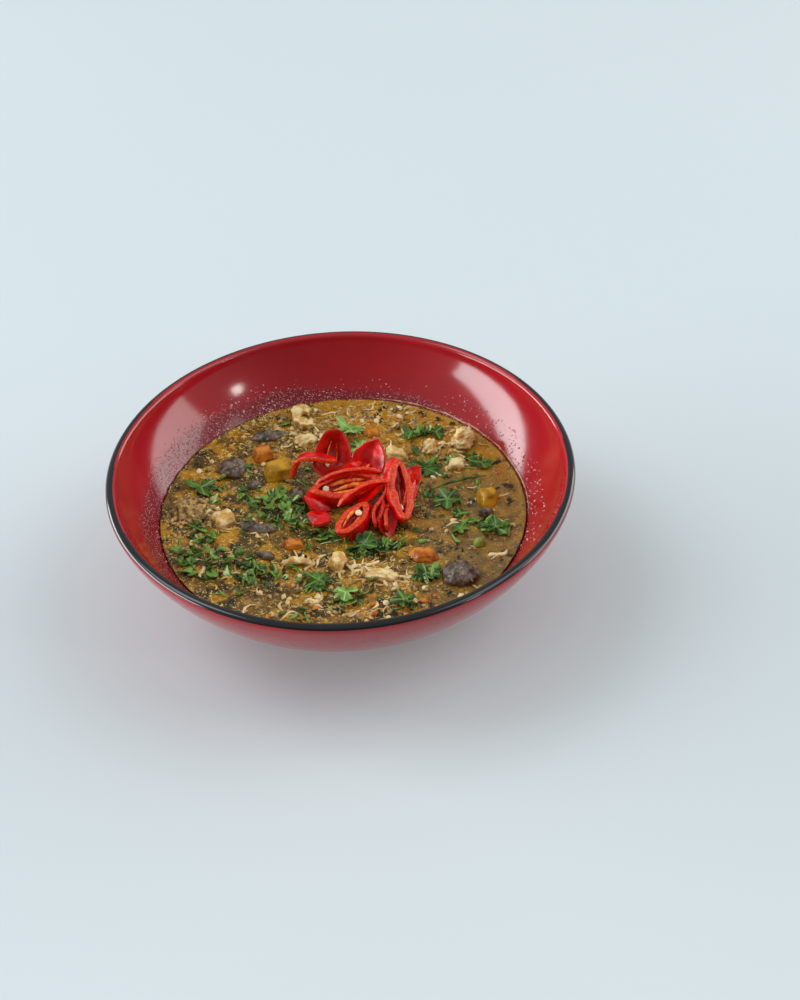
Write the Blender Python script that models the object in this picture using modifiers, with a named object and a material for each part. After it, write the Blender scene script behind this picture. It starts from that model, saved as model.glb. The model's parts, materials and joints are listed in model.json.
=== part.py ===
import math
import random

import bmesh
import bpy
from mathutils import Euler, Matrix, Vector

MM = 0.001

# bowl, measured from the floor up
RIM_RADIUS = 82.5 * MM
WIDEST_HEIGHT = 52.0 * MM
WALL = 3.6 * MM
WALL_DEPTH = 46.0 * MM
BELLY_RADIUS = 16.5 * MM
BELLY_CURVE = 1.32
BELLY_ROUND = 2.1
FOOT_RADIUS = 30.4 * MM
FOOT_WIDTH = 3.4 * MM
RECESS_HEIGHT = 5.2 * MM
FLOOR_HEIGHT = 9.6 * MM
BOWL_STEPS = 48
OUTSIDE_SHARES = (0.0, 0.08, 0.18, 0.3, 0.43, 0.56, 0.69, 0.81, 0.9)
INSIDE_SHARES = (0.02, 0.12, 0.24, 0.36, 0.48, 0.61, 0.75, 0.88)

# soup, filled to a level 20 mm under the rim
SOUP_LEVEL = 31.7 * MM
GAP = 0.35 * MM
CLEAR = 0.35 * MM
SHRED_COUNT = 36
FLECK_COUNT = 56
SCATTER_SEED = 11
SHRED_RISE = 0.6 * MM
FLECK_RISE = 0.45 * MM

# chilli slices
CHILLI_WALL = 2.0 * MM
CHILLI_TIP = 2.6 * MM
TIP_POINT = 0.3
LOOP_STEPS = 18

# leaves
LEAF_THICK = 0.4 * MM
LEAF_POINTS = 17

# pieces of chilli wall
SHELL_COLUMNS = 5
SHELL_ROWS = 7
SHELL_POINT = 1.7

for old in list(bpy.data.objects):
    bpy.data.objects.remove(old, do_unlink=True)

dish = bpy.data.collections.new("bowl of spicy soup")
bpy.context.scene.collection.children.link(dish)
root = bpy.data.objects.new("serving", None)
dish.objects.link(root)


# materials, one for each kind of food and the glaze
def material(name, colour, roughness, metallic=0.0):
    made = bpy.data.materials.new(name)
    made.use_nodes = True
    shader = made.node_tree.nodes["Principled BSDF"]
    shader.inputs["Base Color"].default_value = (*colour, 1.0)
    shader.inputs["Roughness"].default_value = roughness
    shader.inputs["Metallic"].default_value = metallic
    made.diffuse_color = (*colour, 1.0)
    return made


GLAZE = material("red glaze", (0.34, 0.02, 0.025), 0.12)
BROTH = material("brown broth", (0.25, 0.13, 0.022), 0.2)
CHILLI = material("chilli flesh", (0.62, 0.01, 0.008), 0.2)
CHICKEN = material("chicken meat", (0.62, 0.42, 0.2), 0.45)
MUSHROOM = material("dark mushroom", (0.09, 0.06, 0.05), 0.4)
CARROT = material("carrot flesh", (0.62, 0.25, 0.02), 0.35)
MINCE = material("browned mince", (0.25, 0.14, 0.05), 0.6)
HERB = material("coriander green", (0.06, 0.17, 0.03), 0.45)
PALE_HERB = material("pale coriander green", (0.2, 0.38, 0.12), 0.45)
PEA = material("pea green", (0.2, 0.25, 0.03), 0.35)


def finish(mesh_data, name, look, smooth=True):
    made = bpy.data.objects.new(name, mesh_data)
    dish.objects.link(made)
    made.parent = root
    mesh_data.materials.append(look)
    for face in mesh_data.polygons:
        face.use_smooth = smooth
    return made


def mesh_from(build, name):
    form = bmesh.new()
    build(form)
    bmesh.ops.recalc_face_normals(form, faces=form.faces)
    mesh_data = bpy.data.meshes.new(name)
    form.to_mesh(mesh_data)
    form.free()
    return mesh_data


# bowl
def outer_radius(drop):
    share = min(max(drop / WALL_DEPTH, 0.0), 1.0)
    swell = (1.0 - share ** BELLY_CURVE) ** (1.0 / BELLY_ROUND)
    return BELLY_RADIUS + (RIM_RADIUS - BELLY_RADIUS) * swell


def wall_points(offset, shares):
    points = []
    for share in shares:
        drop = share * WALL_DEPTH
        step = 0.002 * WALL_DEPTH
        rise = outer_radius(max(drop - step, 0.0)) - outer_radius(drop + step)
        run = drop + step - max(drop - step, 0.0)
        long = math.hypot(rise, run)
        radius = outer_radius(drop) - offset * run / long
        height = WIDEST_HEIGHT - drop + offset * rise / long
        points.append((radius, height))
    return points


def lathe(name, profile, look):
    def build(form):
        row = [form.verts.new((radius, 0.0, height)) for radius, height in profile]
        for first, second in zip(row, row[1:]):
            form.edges.new((first, second))

    made = finish(mesh_from(build, name), name, look)
    screw = made.modifiers.new("turn", "SCREW")
    screw.steps = BOWL_STEPS
    screw.render_steps = BOWL_STEPS
    screw.use_merge_vertices = True
    screw.merge_threshold = 0.00005
    screw.use_smooth_shade = True
    return made


def bowl():
    outside = wall_points(0.0, OUTSIDE_SHARES)
    inside = wall_points(WALL, INSIDE_SHARES)
    bead = []
    for degrees in (38, 76, 112, 148):
        turn = math.radians(degrees)
        half = WALL / 2
        bead.append((RIM_RADIUS - half + half * math.cos(turn), WIDEST_HEIGHT + half * math.sin(turn)))
    foot = [
        (FOOT_RADIUS + 1.6 * MM, 7.4 * MM),
        (FOOT_RADIUS, 5.6 * MM),
        (FOOT_RADIUS - 0.3 * MM, 0.6 * MM),
        (FOOT_RADIUS - 0.9 * MM, 0.0),
        (FOOT_RADIUS - FOOT_WIDTH + 0.6 * MM, 0.0),
        (FOOT_RADIUS - FOOT_WIDTH, 0.6 * MM),
        (FOOT_RADIUS - FOOT_WIDTH - 1.0 * MM, 4.0 * MM),
        (FOOT_RADIUS - FOOT_WIDTH - 5.0 * MM, RECESS_HEIGHT),
        (0.0, RECESS_HEIGHT + 0.4 * MM),
    ]
    profile = [(0.0, FLOOR_HEIGHT)] + inside[::-1] + bead[::-1] + outside + foot
    return lathe("bowl", profile, GLAZE)


def inside_radius(height, gap=0.0):
    wall = wall_points(WALL + gap, INSIDE_SHARES)
    for upper, lower in zip(wall, wall[1:]):
        if lower[1] <= height <= upper[1]:
            part = (height - lower[1]) / (upper[1] - lower[1])
            return lower[0] + part * (upper[0] - lower[0])
    return wall[-1][0]


# small pieces: each starts as a mesh around its own middle
def lump_mesh(name, size, seed, square=2.0, rough=0.12, level=2):
    draw = random.Random(seed)
    waves = [Vector((draw.uniform(-3, 3), draw.uniform(-3, 3), draw.uniform(-3, 3))) for _ in range(3)]
    starts = [draw.uniform(0.0, math.tau) for _ in waves]

    def build(form):
        bmesh.ops.create_icosphere(form, subdivisions=level, radius=1.0)
        for vert in form.verts:
            way = vert.co.normalized()
            total = sum(abs(part) ** square for part in way)
            reach = total ** (-1.0 / square)
            for wave, start in zip(waves, starts):
                reach += rough * math.sin(way.dot(wave) + start)
            vert.co = Vector((way.x * size[0], way.y * size[1], way.z * size[2])) * reach * 0.5
        bmesh.ops.bisect_plane(
            form,
            geom=form.verts[:] + form.edges[:] + form.faces[:],
            plane_co=(0.0, 0.0, 0.0),
            plane_no=(0.0, 0.0, 1.0),
            clear_inner=True,
        )
        bmesh.ops.remove_doubles(form, verts=form.verts[:], dist=0.02 * MM)
        rim = [part for part in form.edges if part.is_boundary]
        bmesh.ops.holes_fill(form, edges=rim, sides=0)
        bmesh.ops.triangulate(form, faces=form.faces[:])

    return mesh_from(build, name)


keep_clear = []


def lump(name, at, size, turn, look, seed, square=2.0, rough=0.12, lean=0.0):
    measures = (size[0] * MM, size[1] * MM, size[2] * MM * 2.0)
    made = finish(lump_mesh(name, measures, seed, square, rough), name, look)
    lowest = SOUP_LEVEL + CLEAR + abs(math.sin(math.radians(lean))) * size[1] * 0.5 * MM
    made.location = (at[0] * MM, at[1] * MM, lowest)
    made.rotation_euler = (math.radians(lean), 0.0, math.radians(turn))
    keep_clear.append((at[0], at[1], max(size[0], size[1]) * 0.5 + 1.1))
    return made


# an open sheet bent into shape, then thickened to a closed solid
def sheet_mesh(name, start, place, thick):
    def build(form):
        start(form)
        for vert in form.verts:
            vert.co = place(vert.co.copy())
        bmesh.ops.recalc_face_normals(form, faces=form.faces)
        bmesh.ops.triangulate(form, faces=form.faces[:])
        bmesh.ops.solidify(form, geom=form.faces[:], thickness=thick)
        bmesh.ops.triangulate(form, faces=form.faces[:])

    return mesh_from(build, name)


def grid_of(columns, rows):
    def start(form):
        bmesh.ops.create_grid(form, x_segments=columns, y_segments=rows, size=1.0)

    return start


# a strip bent along a row of spots and slimmer at both ends
def strip_mesh(name, spots, wall, depth, taper):
    route = [Vector(spot) * MM for spot in spots]

    def place(spot):
        share = (spot.x + 1.0) * 0.5 * (len(route) - 1)
        first = min(int(share + 0.001), len(route) - 2)
        base = route[first].lerp(route[first + 1], share - first)
        slim = 1.0 - taper * spot.x * spot.x
        return Vector((base.x, base.y, base.z + spot.y * depth * 0.5 * slim))

    return sheet_mesh(name, grid_of(len(route) - 1, 1), place, wall)


def strip(name, at, spots, wall, depth, angles, look, taper=0.6):
    made = finish(strip_mesh(name, spots, wall * MM, depth * MM, taper), name, look)
    made.location = (at[0] * MM, at[1] * MM, SOUP_LEVEL + at[2] * MM)
    made.rotation_euler = tuple(math.radians(part) for part in angles)
    keep_clear.append((at[0], at[1], 6.0))
    return made


# a slanting slice of a hollow chilli: a pointed ring whose upper edge is slid along it
def slice_mesh(name, length, width, depth, slide, bow):
    sizes = {1.0: (length * 0.5, width * 0.5), 0.5: (length * 0.5 - CHILLI_TIP, width * 0.5 - CHILLI_WALL)}

    def build(form):
        corners = [form.verts.new((x, 0.0, z)) for x, z in ((1.0, 1.0), (0.5, 1.0), (0.5, -1.0), (1.0, -1.0))]
        for first, second in zip(corners, corners[1:] + corners[:1]):
            form.edges.new((first, second))
        bmesh.ops.spin(
            form,
            geom=form.verts[:] + form.edges[:],
            cent=(0.0, 0.0, 0.0),
            axis=(0.0, 0.0, 1.0),
            angle=math.tau,
            steps=LOOP_STEPS,
            use_merge=True,
        )
        for vert in form.verts:
            radius = 1.0 if vert.co.xy.length > 0.75 else 0.5
            long, wide = sizes[radius]
            x = vert.co.x / radius
            y = vert.co.y / radius
            z = vert.co.z
            y = y * abs(y) ** TIP_POINT * wide
            vert.co = Vector((x * long + slide * 0.5 * z, y, bow * x * x + depth * 0.5 * z))
        bmesh.ops.triangulate(form, faces=form.faces[:])

    return mesh_from(build, name)


def chilli_slice(name, start, end, up, width, depth, slide, bow=0.6, fused=()):
    start = Vector(start) * MM
    end = Vector(end) * MM
    along = (end - start).normalized()
    across = Vector(up).cross(along).normalized()
    turned = Matrix((along, across, along.cross(across))).transposed()
    length = (end - start).length - abs(slide) * MM
    form = slice_mesh(name, length, width * MM, depth * MM, slide * MM, bow * MM)
    made = finish(form, name, CHILLI)
    middle = (start + end) * 0.5
    made.location = (middle.x, middle.y, middle.z + SOUP_LEVEL)
    made.rotation_euler = turned.to_euler()
    if fused:
        fuse(made, [seed_at(spot) for spot in fused], "MANIFOLD")
    keep_clear.append((middle.x / MM, middle.y / MM, length / MM * 0.45))
    return made


def seed_at(spot):
    def build(form):
        turned = Matrix.Translation(Vector(spot) * MM) @ Matrix.Diagonal((1.0, 0.85, 0.7, 1.0))
        bmesh.ops.create_icosphere(form, subdivisions=1, radius=1.5 * MM, matrix=turned)

    return mesh_from(build, "seed")


# keeps a fused mesh's main body: scraps are dropped and sealed hollows are filled
def main_body(mesh_data):
    form = bmesh.new()
    form.from_mesh(mesh_data)
    bmesh.ops.triangulate(form, faces=form.faces[:])
    unseen = set(form.faces)
    bodies = []
    while unseen:
        front = [unseen.pop()]
        body = list(front)
        while front:
            face = front.pop()
            for edge in face.edges:
                for other in edge.link_faces:
                    if other in unseen:
                        unseen.remove(other)
                        front.append(other)
                        body.append(other)
        bodies.append(body)
    bodies.sort(key=len, reverse=True)
    extra_faces = [face for body in bodies[1:] for face in body]
    bmesh.ops.delete(form, geom=extra_faces, context="FACES")
    form.to_mesh(mesh_data)
    form.free()


def fuse(made, extras, solver="EXACT"):
    held = bpy.data.collections.new(made.name + " extras")
    bpy.context.scene.collection.children.link(held)
    pieces = []
    for extra in extras:
        piece = bpy.data.objects.new("extra", extra)
        held.objects.link(piece)
        piece.matrix_world = made.matrix_basis
        pieces.append(piece)
    join = made.modifiers.new("join", "BOOLEAN")
    join.operation = "UNION"
    join.solver = solver
    join.operand_type = "COLLECTION"
    join.collection = held
    bpy.context.view_layer.update()
    ready = made.evaluated_get(bpy.context.evaluated_depsgraph_get())
    joined = bpy.data.meshes.new_from_object(ready)
    joined.name = made.name
    main_body(joined)
    made.modifiers.clear()
    made.data = joined
    for piece in pieces:
        bpy.data.objects.remove(piece, do_unlink=True)
    bpy.data.collections.remove(held)


# a boat-shaped piece of wall, hollow on its upper side
def shell_mesh(name, length, width, curl, wall):
    def place(spot):
        half = width * 0.5 * (1.0 - abs(spot.y) ** SHELL_POINT) ** 0.85 + 0.35 * MM
        hollow = (spot.x * half / (width * 0.5)) ** 2 + 0.6 * spot.y * spot.y
        return Vector((spot.x * half, spot.y * length * 0.5, curl * hollow))

    return sheet_mesh(name, grid_of(SHELL_COLUMNS, SHELL_ROWS), place, wall)


def shell(name, at, length, width, curl, angles, look, wall=1.5):
    made = finish(shell_mesh(name, length * MM, width * MM, curl * MM, wall * MM), name, look)
    made.location = (at[0] * MM, at[1] * MM, SOUP_LEVEL + at[2] * MM)
    made.rotation_euler = tuple(math.radians(part) for part in angles)
    keep_clear.append((at[0], at[1], length * 0.45))
    return made


# coriander leaf: a disc of triangles with a lobed outline, wavy and thin
def leaf_mesh(name, length, width, lobes, seed, wave=0.5, points=LEAF_POINTS, thick=LEAF_THICK):
    draw = random.Random(seed)
    wave_start = draw.uniform(0.0, math.tau)
    ragged = [1.0 + draw.uniform(-0.08, 0.08) for _ in range(points)]

    def start(form):
        bmesh.ops.create_circle(form, cap_ends=True, cap_tris=True, segments=points, radius=1.0)

    def place(spot):
        x = 0.0
        y = 0.0
        if spot.length > 0.5:
            turn = math.atan2(spot.y, spot.x) % math.tau
            notch = 0.5 + 0.5 * math.cos(lobes * (turn - math.pi))
            reach = 0.5 * (0.66 + 0.34 * notch) * ragged[round(turn / math.tau * points) % points]
            narrow = 1.0 - 0.55 * max(math.cos(turn), 0.0) ** 4
            x = length * reach * narrow * math.cos(turn)
            y = width * reach * math.sin(turn)
        bow = math.sin(wave_start + 5.0 * x / length) + 0.7 * math.cos(wave_start * 1.7 + 4.0 * y / width)
        return Vector((x, y, wave * MM * bow * 0.5))

    return sheet_mesh(name, start, place, thick)


def leaf(name, at, size, turn, look, seed, tilt=(0.0, 0.0), lobes=3, wave=0.8):
    made = finish(leaf_mesh(name, size[0] * MM, size[1] * MM, lobes, seed, wave), name, look)
    turned = Euler((math.radians(tilt[0]), math.radians(tilt[1]), math.radians(turn)), "XYZ").to_matrix()
    lowest = min((turned @ vert.co).z for vert in made.data.vertices)
    made.location = (at[0] * MM, at[1] * MM, SOUP_LEVEL + CLEAR + at[2] * MM - lowest)
    made.rotation_euler = turned.to_euler()
    keep_clear.append((at[0], at[1], max(size) * 0.5 + 0.3))
    return made


# a shred of meat: a thick narrow strip with a bend
def shred_mesh(name, length, width, height, bend, twist):
    def place(spot):
        y = bend * spot.x * spot.x + twist * math.sin(2.5 * spot.x)
        half = width * 0.5 * (1.0 - 0.55 * spot.x * spot.x)
        return Vector((spot.x * length * 0.5, y + spot.y * half, height))

    return sheet_mesh(name, grid_of(3, 1), place, height * 2.0)


def moved(mesh_data, spot, turn, tilt=0.0):
    placed = Matrix.Translation(spot) @ Euler((math.radians(tilt), 0.0, math.radians(turn))).to_matrix().to_4x4()
    mesh_data.transform(placed)
    return mesh_data


# a heap of chopped leaves: a low core with leaves and stalks fused on
def herb_heap(name, at, size, turn, count, seed, look):
    draw = random.Random(seed)
    core = lump_mesh(name, (size[0] * MM * 0.9, size[1] * MM * 0.9, size[2] * 1.3 * MM), seed, 2.0, 0.14)
    made = finish(core, name, look, smooth=False)
    made.location = (at[0] * MM, at[1] * MM, SOUP_LEVEL + CLEAR)
    made.rotation_euler = (0.0, 0.0, math.radians(turn))
    extras = []
    for index in range(count):
        way = draw.uniform(0.0, math.tau)
        out = math.sqrt(draw.random()) * 0.44
        x = size[0] * out * math.cos(way)
        y = size[1] * out * math.sin(way)
        z = size[2] * 0.66 * math.sqrt(max(1.0 - (out / 0.5) ** 2, 0.0)) + 0.2
        piece = leaf_mesh(
            "chop",
            draw.uniform(4.0, 7.5) * MM,
            draw.uniform(2.4, 5.0) * MM,
            3,
            seed * 100 + index,
            0.7,
            points=7,
            thick=0.5 * MM,
        )
        extras.append(moved(piece, Vector((x, y, max(z, 0.75))) * MM, draw.uniform(0, 360), draw.uniform(-14, 14)))
    fuse(made, extras)
    keep_clear.append((at[0], at[1], max(size[0], size[1]) * 0.5 + 2.0))
    return made


bowl()

# chilli slices heaped on the middle of the soup
chilli_slice("chilli_front_ring", (-3.0, -19.2, 3.4), (10.8, -3.4, 6.4), (-0.25, -0.35, 0.9), 8.4, 5.6, -3.0)
chilli_slice(
    "chilli_wide_ring", (-15.2, 4.2, 4.4), (15.0, 7.2, 6.2), (0.0, -0.3, 0.95), 11.0, 6.0, 4.0,
    fused=((-4.6, -3.3, 1.0), (4.2, -3.2, 1.3)),
)
chilli_slice("chilli_tall_slice", (-3.8, 15.0, 4.4), (-1.6, 26.6, 14.3), (0.1, -0.7, 0.7), 11.6, 5.2, 4.0)
chilli_slice("chilli_right_ring", (20.8, -14.6, 3.8), (19.4, 12.4, 12.6), (0.3, -0.35, 0.9), 9.8, 6.0, -2.0)
shell("chilli_leaf_slice", (11.0, 15.7, 9.6), 17.6, 12.6, 1.8, (52, 10, -30), CHILLI)
shell("chilli_side_wing", (27.2, 11.6, 4.6), 13.0, 8.0, 1.2, (24, 28, -30), CHILLI)
shell("chilli_under_slice", (-8.6, -6.8, 3.0), 9.5, 7.5, -1.0, (0, 0, 62), CHILLI)
strip(
    "chilli_strip", (7.6, -3.8, 11.4),
    ((-10.5, -0.6, 0.2), (-6.5, 0.5, 0.9), (-2.0, 1.0, 1.2), (2.5, 0.8, 1.2), (6.5, 0.1, 0.8), (10.5, -1.2, 0.0)),
    2.0, 2.6, (0, -13, 20), CHILLI, 0.7,
)
strip(
    "chilli_arch", (-8.8, 15.2, 10.8),
    ((8.0, 1.6, 0.0), (4.0, 2.2, 0.2), (0.0, 2.4, 0.3), (-4.0, 1.9, 0.1), (-6.8, -0.2, 0.0), (-8.2, -4.2, 0.0),
     (-8.8, -7.6, 0.0)),
    1.8, 4.6, (74, 0, -18), CHILLI, 0.45,
)
strip(
    "chilli_mid_wall", (11.57, -8.7, 4.4),
    ((-5.4, -1.4, 0.0), (-2.8, -0.2, 0.0), (0.0, 0.6, 0.0), (2.8, 0.6, 0.0), (5.6, -0.2, 0.0)),
    1.4, 6.0, (0, -14, 68), CHILLI, 0.5,
)

# chicken
strip(
    "chicken_curl", (-12.4, 54.6, 2.1),
    [(5.2 * math.cos(math.radians(turn)), 6.4 * math.sin(math.radians(turn)), 0.0) for turn in range(40, 301, 26)],
    3.6, 3.4, (0, 0, 12), CHICKEN, 0.5,
)
lump("chicken_behind", (-12.7, 41.4), (9.0, 7.0, 2.4), 20, CHICKEN, 2, 2.4)
lump("chicken_back_right", (46.8, 34.2), (11.6, 7.4, 6.6), 28, CHICKEN, 3, 2.6, 0.16)
lump("chicken_by_chilli", (21.2, 29.6), (8.4, 6.8, 3.0), -12, CHICKEN, 4, 2.8, 0.14)
lump("chicken_upper_right", (33.6, 31.8), (7.5, 6.0, 3.0), 15, CHICKEN, 5, 2.6)
lump("chicken_cube", (42.8, 21.0), (6.0, 4.6, 3.0), -8, CHICKEN, 6, 4.5, 0.05)
lump("chicken_left", (-42.4, -1.6), (7.4, 7.0, 3.8), 25, CHICKEN, 7, 3.4, 0.1)
lump("chicken_front_left", (-16.6, -27.2), (10.5, 5.0, 2.2), -12, CHICKEN, 8, 2.2, 0.16)
lump("chicken_front", (-2.8, -28.2), (7.0, 6.8, 3.2), 50, CHICKEN, 9, 2.6, 0.16)
lump("chicken_front_right", (11.4, -34.8), (11.0, 6.5, 2.4), -24, CHICKEN, 10, 2.2, 0.18)
lump("chicken_near_rim", (-12.6, -47.0), (7.5, 4.4, 1.8), 4, CHICKEN, 12, 2.2, 0.14)

# mushrooms
lump("mushroom_cap", (39.0, -38.4), (13.4, 10.0, 4.2), -10, MUSHROOM, 21, 2.6, 0.07)
lump("mushroom_slice_left", (-30.8, -6.4), (15.5, 6.4, 2.2), -16, MUSHROOM, 22, 2.2, 0.06)
lump("mushroom_upper_left", (-39.6, 27.8), (11.5, 11.5, 2.8), 20, MUSHROOM, 23, 2.4, 0.1)
lump("mushroom_back", (-26.8, 46.6), (14.0, 7.0, 2.2), 8, MUSHROOM, 24, 2.2, 0.1)
lump("mushroom_round", (-16.6, 10.2), (8.0, 6.5, 2.6), 60, MUSHROOM, 25, 2.2, 0.06)
lump("mushroom_small_right", (50.6, -6.6), (7.0, 4.6, 2.0), -8, MUSHROOM, 26, 2.2, 0.14)
lump("mushroom_dark_left", (-31.8, 17.4), (7.5, 5.0, 2.0), 10, MUSHROOM, 27, 2.4, 0.1)
lump("mushroom_front", (-27.4, -21.4), (7.4, 4.8, 1.6), -20, MUSHROOM, 28, 2.4, 0.1)

# carrot, squash, pea and the crumbly meat
lump("squash_cube", (-22.4, 23.4), (9.4, 7.6, 4.2), 8, CARROT, 31, 4.5, 0.05)
lump("carrot_cube", (-28.6, 34.0), (6.6, 5.6, 3.2), 24, CARROT, 32, 4.5, 0.06)
lump("carrot_slice", (26.8, -26.6), (9.4, 6.4, 2.2), -18, CARROT, 33, 2.4, 0.04)
lump("carrot_left", (-18.4, -16.8), (6.4, 4.2, 1.6), 0, CARROT, 34, 3.0, 0.06)
lump("carrot_behind", (13.2, 43.6), (5.0, 4.0, 1.4), 20, CARROT, 35, 3.0, 0.06)
lump("squash_right", (52.0, 0.6), (7.0, 6.0, 4.4), -30, CARROT, 36, 2.8, 0.12)
lump("pea", (46.8, -22.4), (5.0, 4.8, 2.6), 0, PEA, 37, 2.0, 0.0)
lump("minced_meat", (-54.8, 4.8), (15.0, 12.4, 3.2), 35, MINCE, 38, 2.0, 0.16)

# chopped coriander heaps, the long stalk and the larger leaves
herb_heap("herb_heap_middle", (-23.6, 0.8), (15.0, 11.0, 2.6), -30, 12, 41, HERB)
herb_heap("herb_heap_left", (-44.4, -24.6), (26.0, 14.0, 2.4), -24, 17, 42, HERB)
strip(
    "coriander_stalk", (43.0, 10.6, 1.1),
    ((-10.0, -1.2, 0.0), (-5.0, -0.2, 0.0), (0.0, 0.3, 0.1), (5.0, 0.8, 0.1), (10.0, 0.6, 0.0)),
    1.5, 1.3, (0, 0, 10), HERB, 0.3,
)
keep_clear.append((36.0, 9.4, 4.0))
keep_clear.append((50.0, 11.8, 4.0))

leaf("leaf_bright_back", (4.6, 46.0, 0.8), (12.0, 10.0), 96, PALE_HERB, 51, (16, 10))
leaf("leaf_pale_back", (8.6, 33.4, 0.0), (9.0, 6.0), 15, PALE_HERB, 52, (10, 0))
leaf("leaf_back_right", (27.4, 42.4, 0.0), (9.0, 8.0), 70, HERB, 53, (8, 4))
leaf("leaf_upper_right", (37.4, 41.6, 0.0), (7.5, 7.0), 110, HERB, 54, (8, -4))
leaf("leaf_by_ring", (33.0, 19.2, 0.4), (14.0, 8.0), 12, HERB, 55, (12, 6))
leaf("leaf_by_cube", (52.6, 21.6, 0.0), (9.5, 6.0), -16, HERB, 56, (6, 0))
leaf("leaf_fan_right", (37.8, 1.2, 0.0), (10.5, 10.0), -60, HERB, 57, (8, 6), 5)
leaf("leaf_under_fan", (41.6, -6.4, 0.0), (5.4, 5.0), -70, HERB, 58)
leaf("leaf_right", (54.4, -15.0, 0.0), (12.0, 7.5), -24, HERB, 59, (8, 0))
leaf("leaf_middle_right", (40.4, -14.8, 0.0), (7.0, 6.0), 170, HERB, 60, (4, 4))
leaf("leaf_front_left", (-9.6, -37.6, 0.0), (11.0, 8.5), 30, HERB, 61, (10, 4))
leaf("leaf_front_centre", (-1.6, -43.6, 0.2), (9.0, 8.0), 200, PALE_HERB, 62, (10, -6))
leaf("leaf_near_rim", (18.4, -49.0, 0.0), (9.0, 9.0), 80, HERB, 63, (8, 4))
leaf("leaf_far_left", (-50.8, 17.2, 0.0), (13.0, 7.0), -28, HERB, 64, (6, 4))
leaf("leaf_long_front", (7.4, -21.6, 0.0), (15.0, 6.5), 14, HERB, 65, (6, 0))
leaf("leaf_by_mushroom", (27.0, -37.0, 0.2), (8.0, 8.0), 40, HERB, 66, (8, -6))

# soup, with shreds of chicken and chopped coriander lying in its surface
soup_wall = [spot for spot in wall_points(WALL + GAP, INSIDE_SHARES) if spot[1] < SOUP_LEVEL]
soup_profile = [(0.0, SOUP_LEVEL), (inside_radius(SOUP_LEVEL, GAP), SOUP_LEVEL)]
soup_profile += soup_wall + [(0.0, FLOOR_HEIGHT + GAP)]
soup = lathe("soup", soup_profile, BROTH)
scatter = random.Random(SCATTER_SEED)
edge_radius = inside_radius(SOUP_LEVEL) / MM


def free_spot(reach):
    for _ in range(400):
        way = scatter.uniform(0.0, math.tau)
        out = math.sqrt(scatter.random()) * (edge_radius - 1.5 - reach)
        spot = (out * math.cos(way), out * math.sin(way))
        if all(math.dist(spot, (x, y)) > far + reach for x, y, far in keep_clear):
            return spot
    return None


lying = []
for index in range(SHRED_COUNT + FLECK_COUNT):
    if index < SHRED_COUNT:
        length = scatter.uniform(3.6, 7.5)
        piece = shred_mesh(
            "shred",
            length * MM,
            scatter.uniform(0.9, 1.8) * MM,
            scatter.uniform(0.35, 0.7) * MM,
            scatter.uniform(-0.9, 0.9) * MM,
            scatter.uniform(-0.4, 0.4) * MM,
        )
        depth = SHRED_RISE - max(vert.co.z for vert in piece.vertices)
    else:
        length = scatter.uniform(2.0, 4.2)
        width = scatter.uniform(1.4, 2.8)
        piece = leaf_mesh("fleck", length * MM, width * MM, 3, 900 + index, 0.2, points=6, thick=0.8 * MM)
        depth = FLECK_RISE - max(vert.co.z for vert in piece.vertices)
    spot = free_spot(length * 0.5)
    if spot is None:
        continue
    keep_clear.append((spot[0], spot[1], length * 0.42))
    lying.append(moved(piece, Vector((spot[0] * MM, spot[1] * MM, SOUP_LEVEL + depth)), scatter.uniform(0, 360)))
fuse(soup, lying)
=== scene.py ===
import json
import math
import random

import bmesh
import bpy
from mathutils import Euler, Matrix, Vector, noise

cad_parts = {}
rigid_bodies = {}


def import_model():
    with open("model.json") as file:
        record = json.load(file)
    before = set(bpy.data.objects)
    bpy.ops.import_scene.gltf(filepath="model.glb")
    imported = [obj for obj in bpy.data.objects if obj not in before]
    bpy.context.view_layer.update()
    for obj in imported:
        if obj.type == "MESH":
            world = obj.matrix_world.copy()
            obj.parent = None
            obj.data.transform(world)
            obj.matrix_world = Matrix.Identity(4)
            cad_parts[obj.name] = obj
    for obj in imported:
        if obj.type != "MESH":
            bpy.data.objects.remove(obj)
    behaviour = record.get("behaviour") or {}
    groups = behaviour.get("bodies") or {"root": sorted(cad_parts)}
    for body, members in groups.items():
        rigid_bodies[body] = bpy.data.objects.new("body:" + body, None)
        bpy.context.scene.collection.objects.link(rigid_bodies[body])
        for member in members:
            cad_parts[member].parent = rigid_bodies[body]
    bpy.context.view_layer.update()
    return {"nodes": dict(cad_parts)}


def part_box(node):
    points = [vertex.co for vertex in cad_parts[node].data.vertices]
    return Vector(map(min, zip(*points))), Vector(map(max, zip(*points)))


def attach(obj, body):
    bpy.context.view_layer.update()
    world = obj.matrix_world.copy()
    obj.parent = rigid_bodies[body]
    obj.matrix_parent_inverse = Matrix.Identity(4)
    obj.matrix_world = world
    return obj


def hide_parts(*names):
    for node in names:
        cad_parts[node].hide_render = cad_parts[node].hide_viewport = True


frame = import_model()


# Photographer's table: a pale blue-white board under daylight. The camera stands in
# front of the bowl, looks down at 39 degrees and leans a little to one side.
MM = 0.001
EYE = Vector((0.0, -464.9, 431.0)) * MM
EYE_RIGHT = Vector((0.99731, -0.06783, -0.02787))
EYE_UP = Vector((0.06516, 0.64527, 0.76117))
EYE_BACK = Vector((-0.03365, -0.76094, 0.64795))
LENS = 61.2
FLOOR_SIDE = 6.0
BOARD_COLOUR = "#c9d1d4"
SKY_COLOUR = "#e9f0f2"
SKY_STRENGTH = 0.6
SKY_FRONT = 0.2

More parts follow.
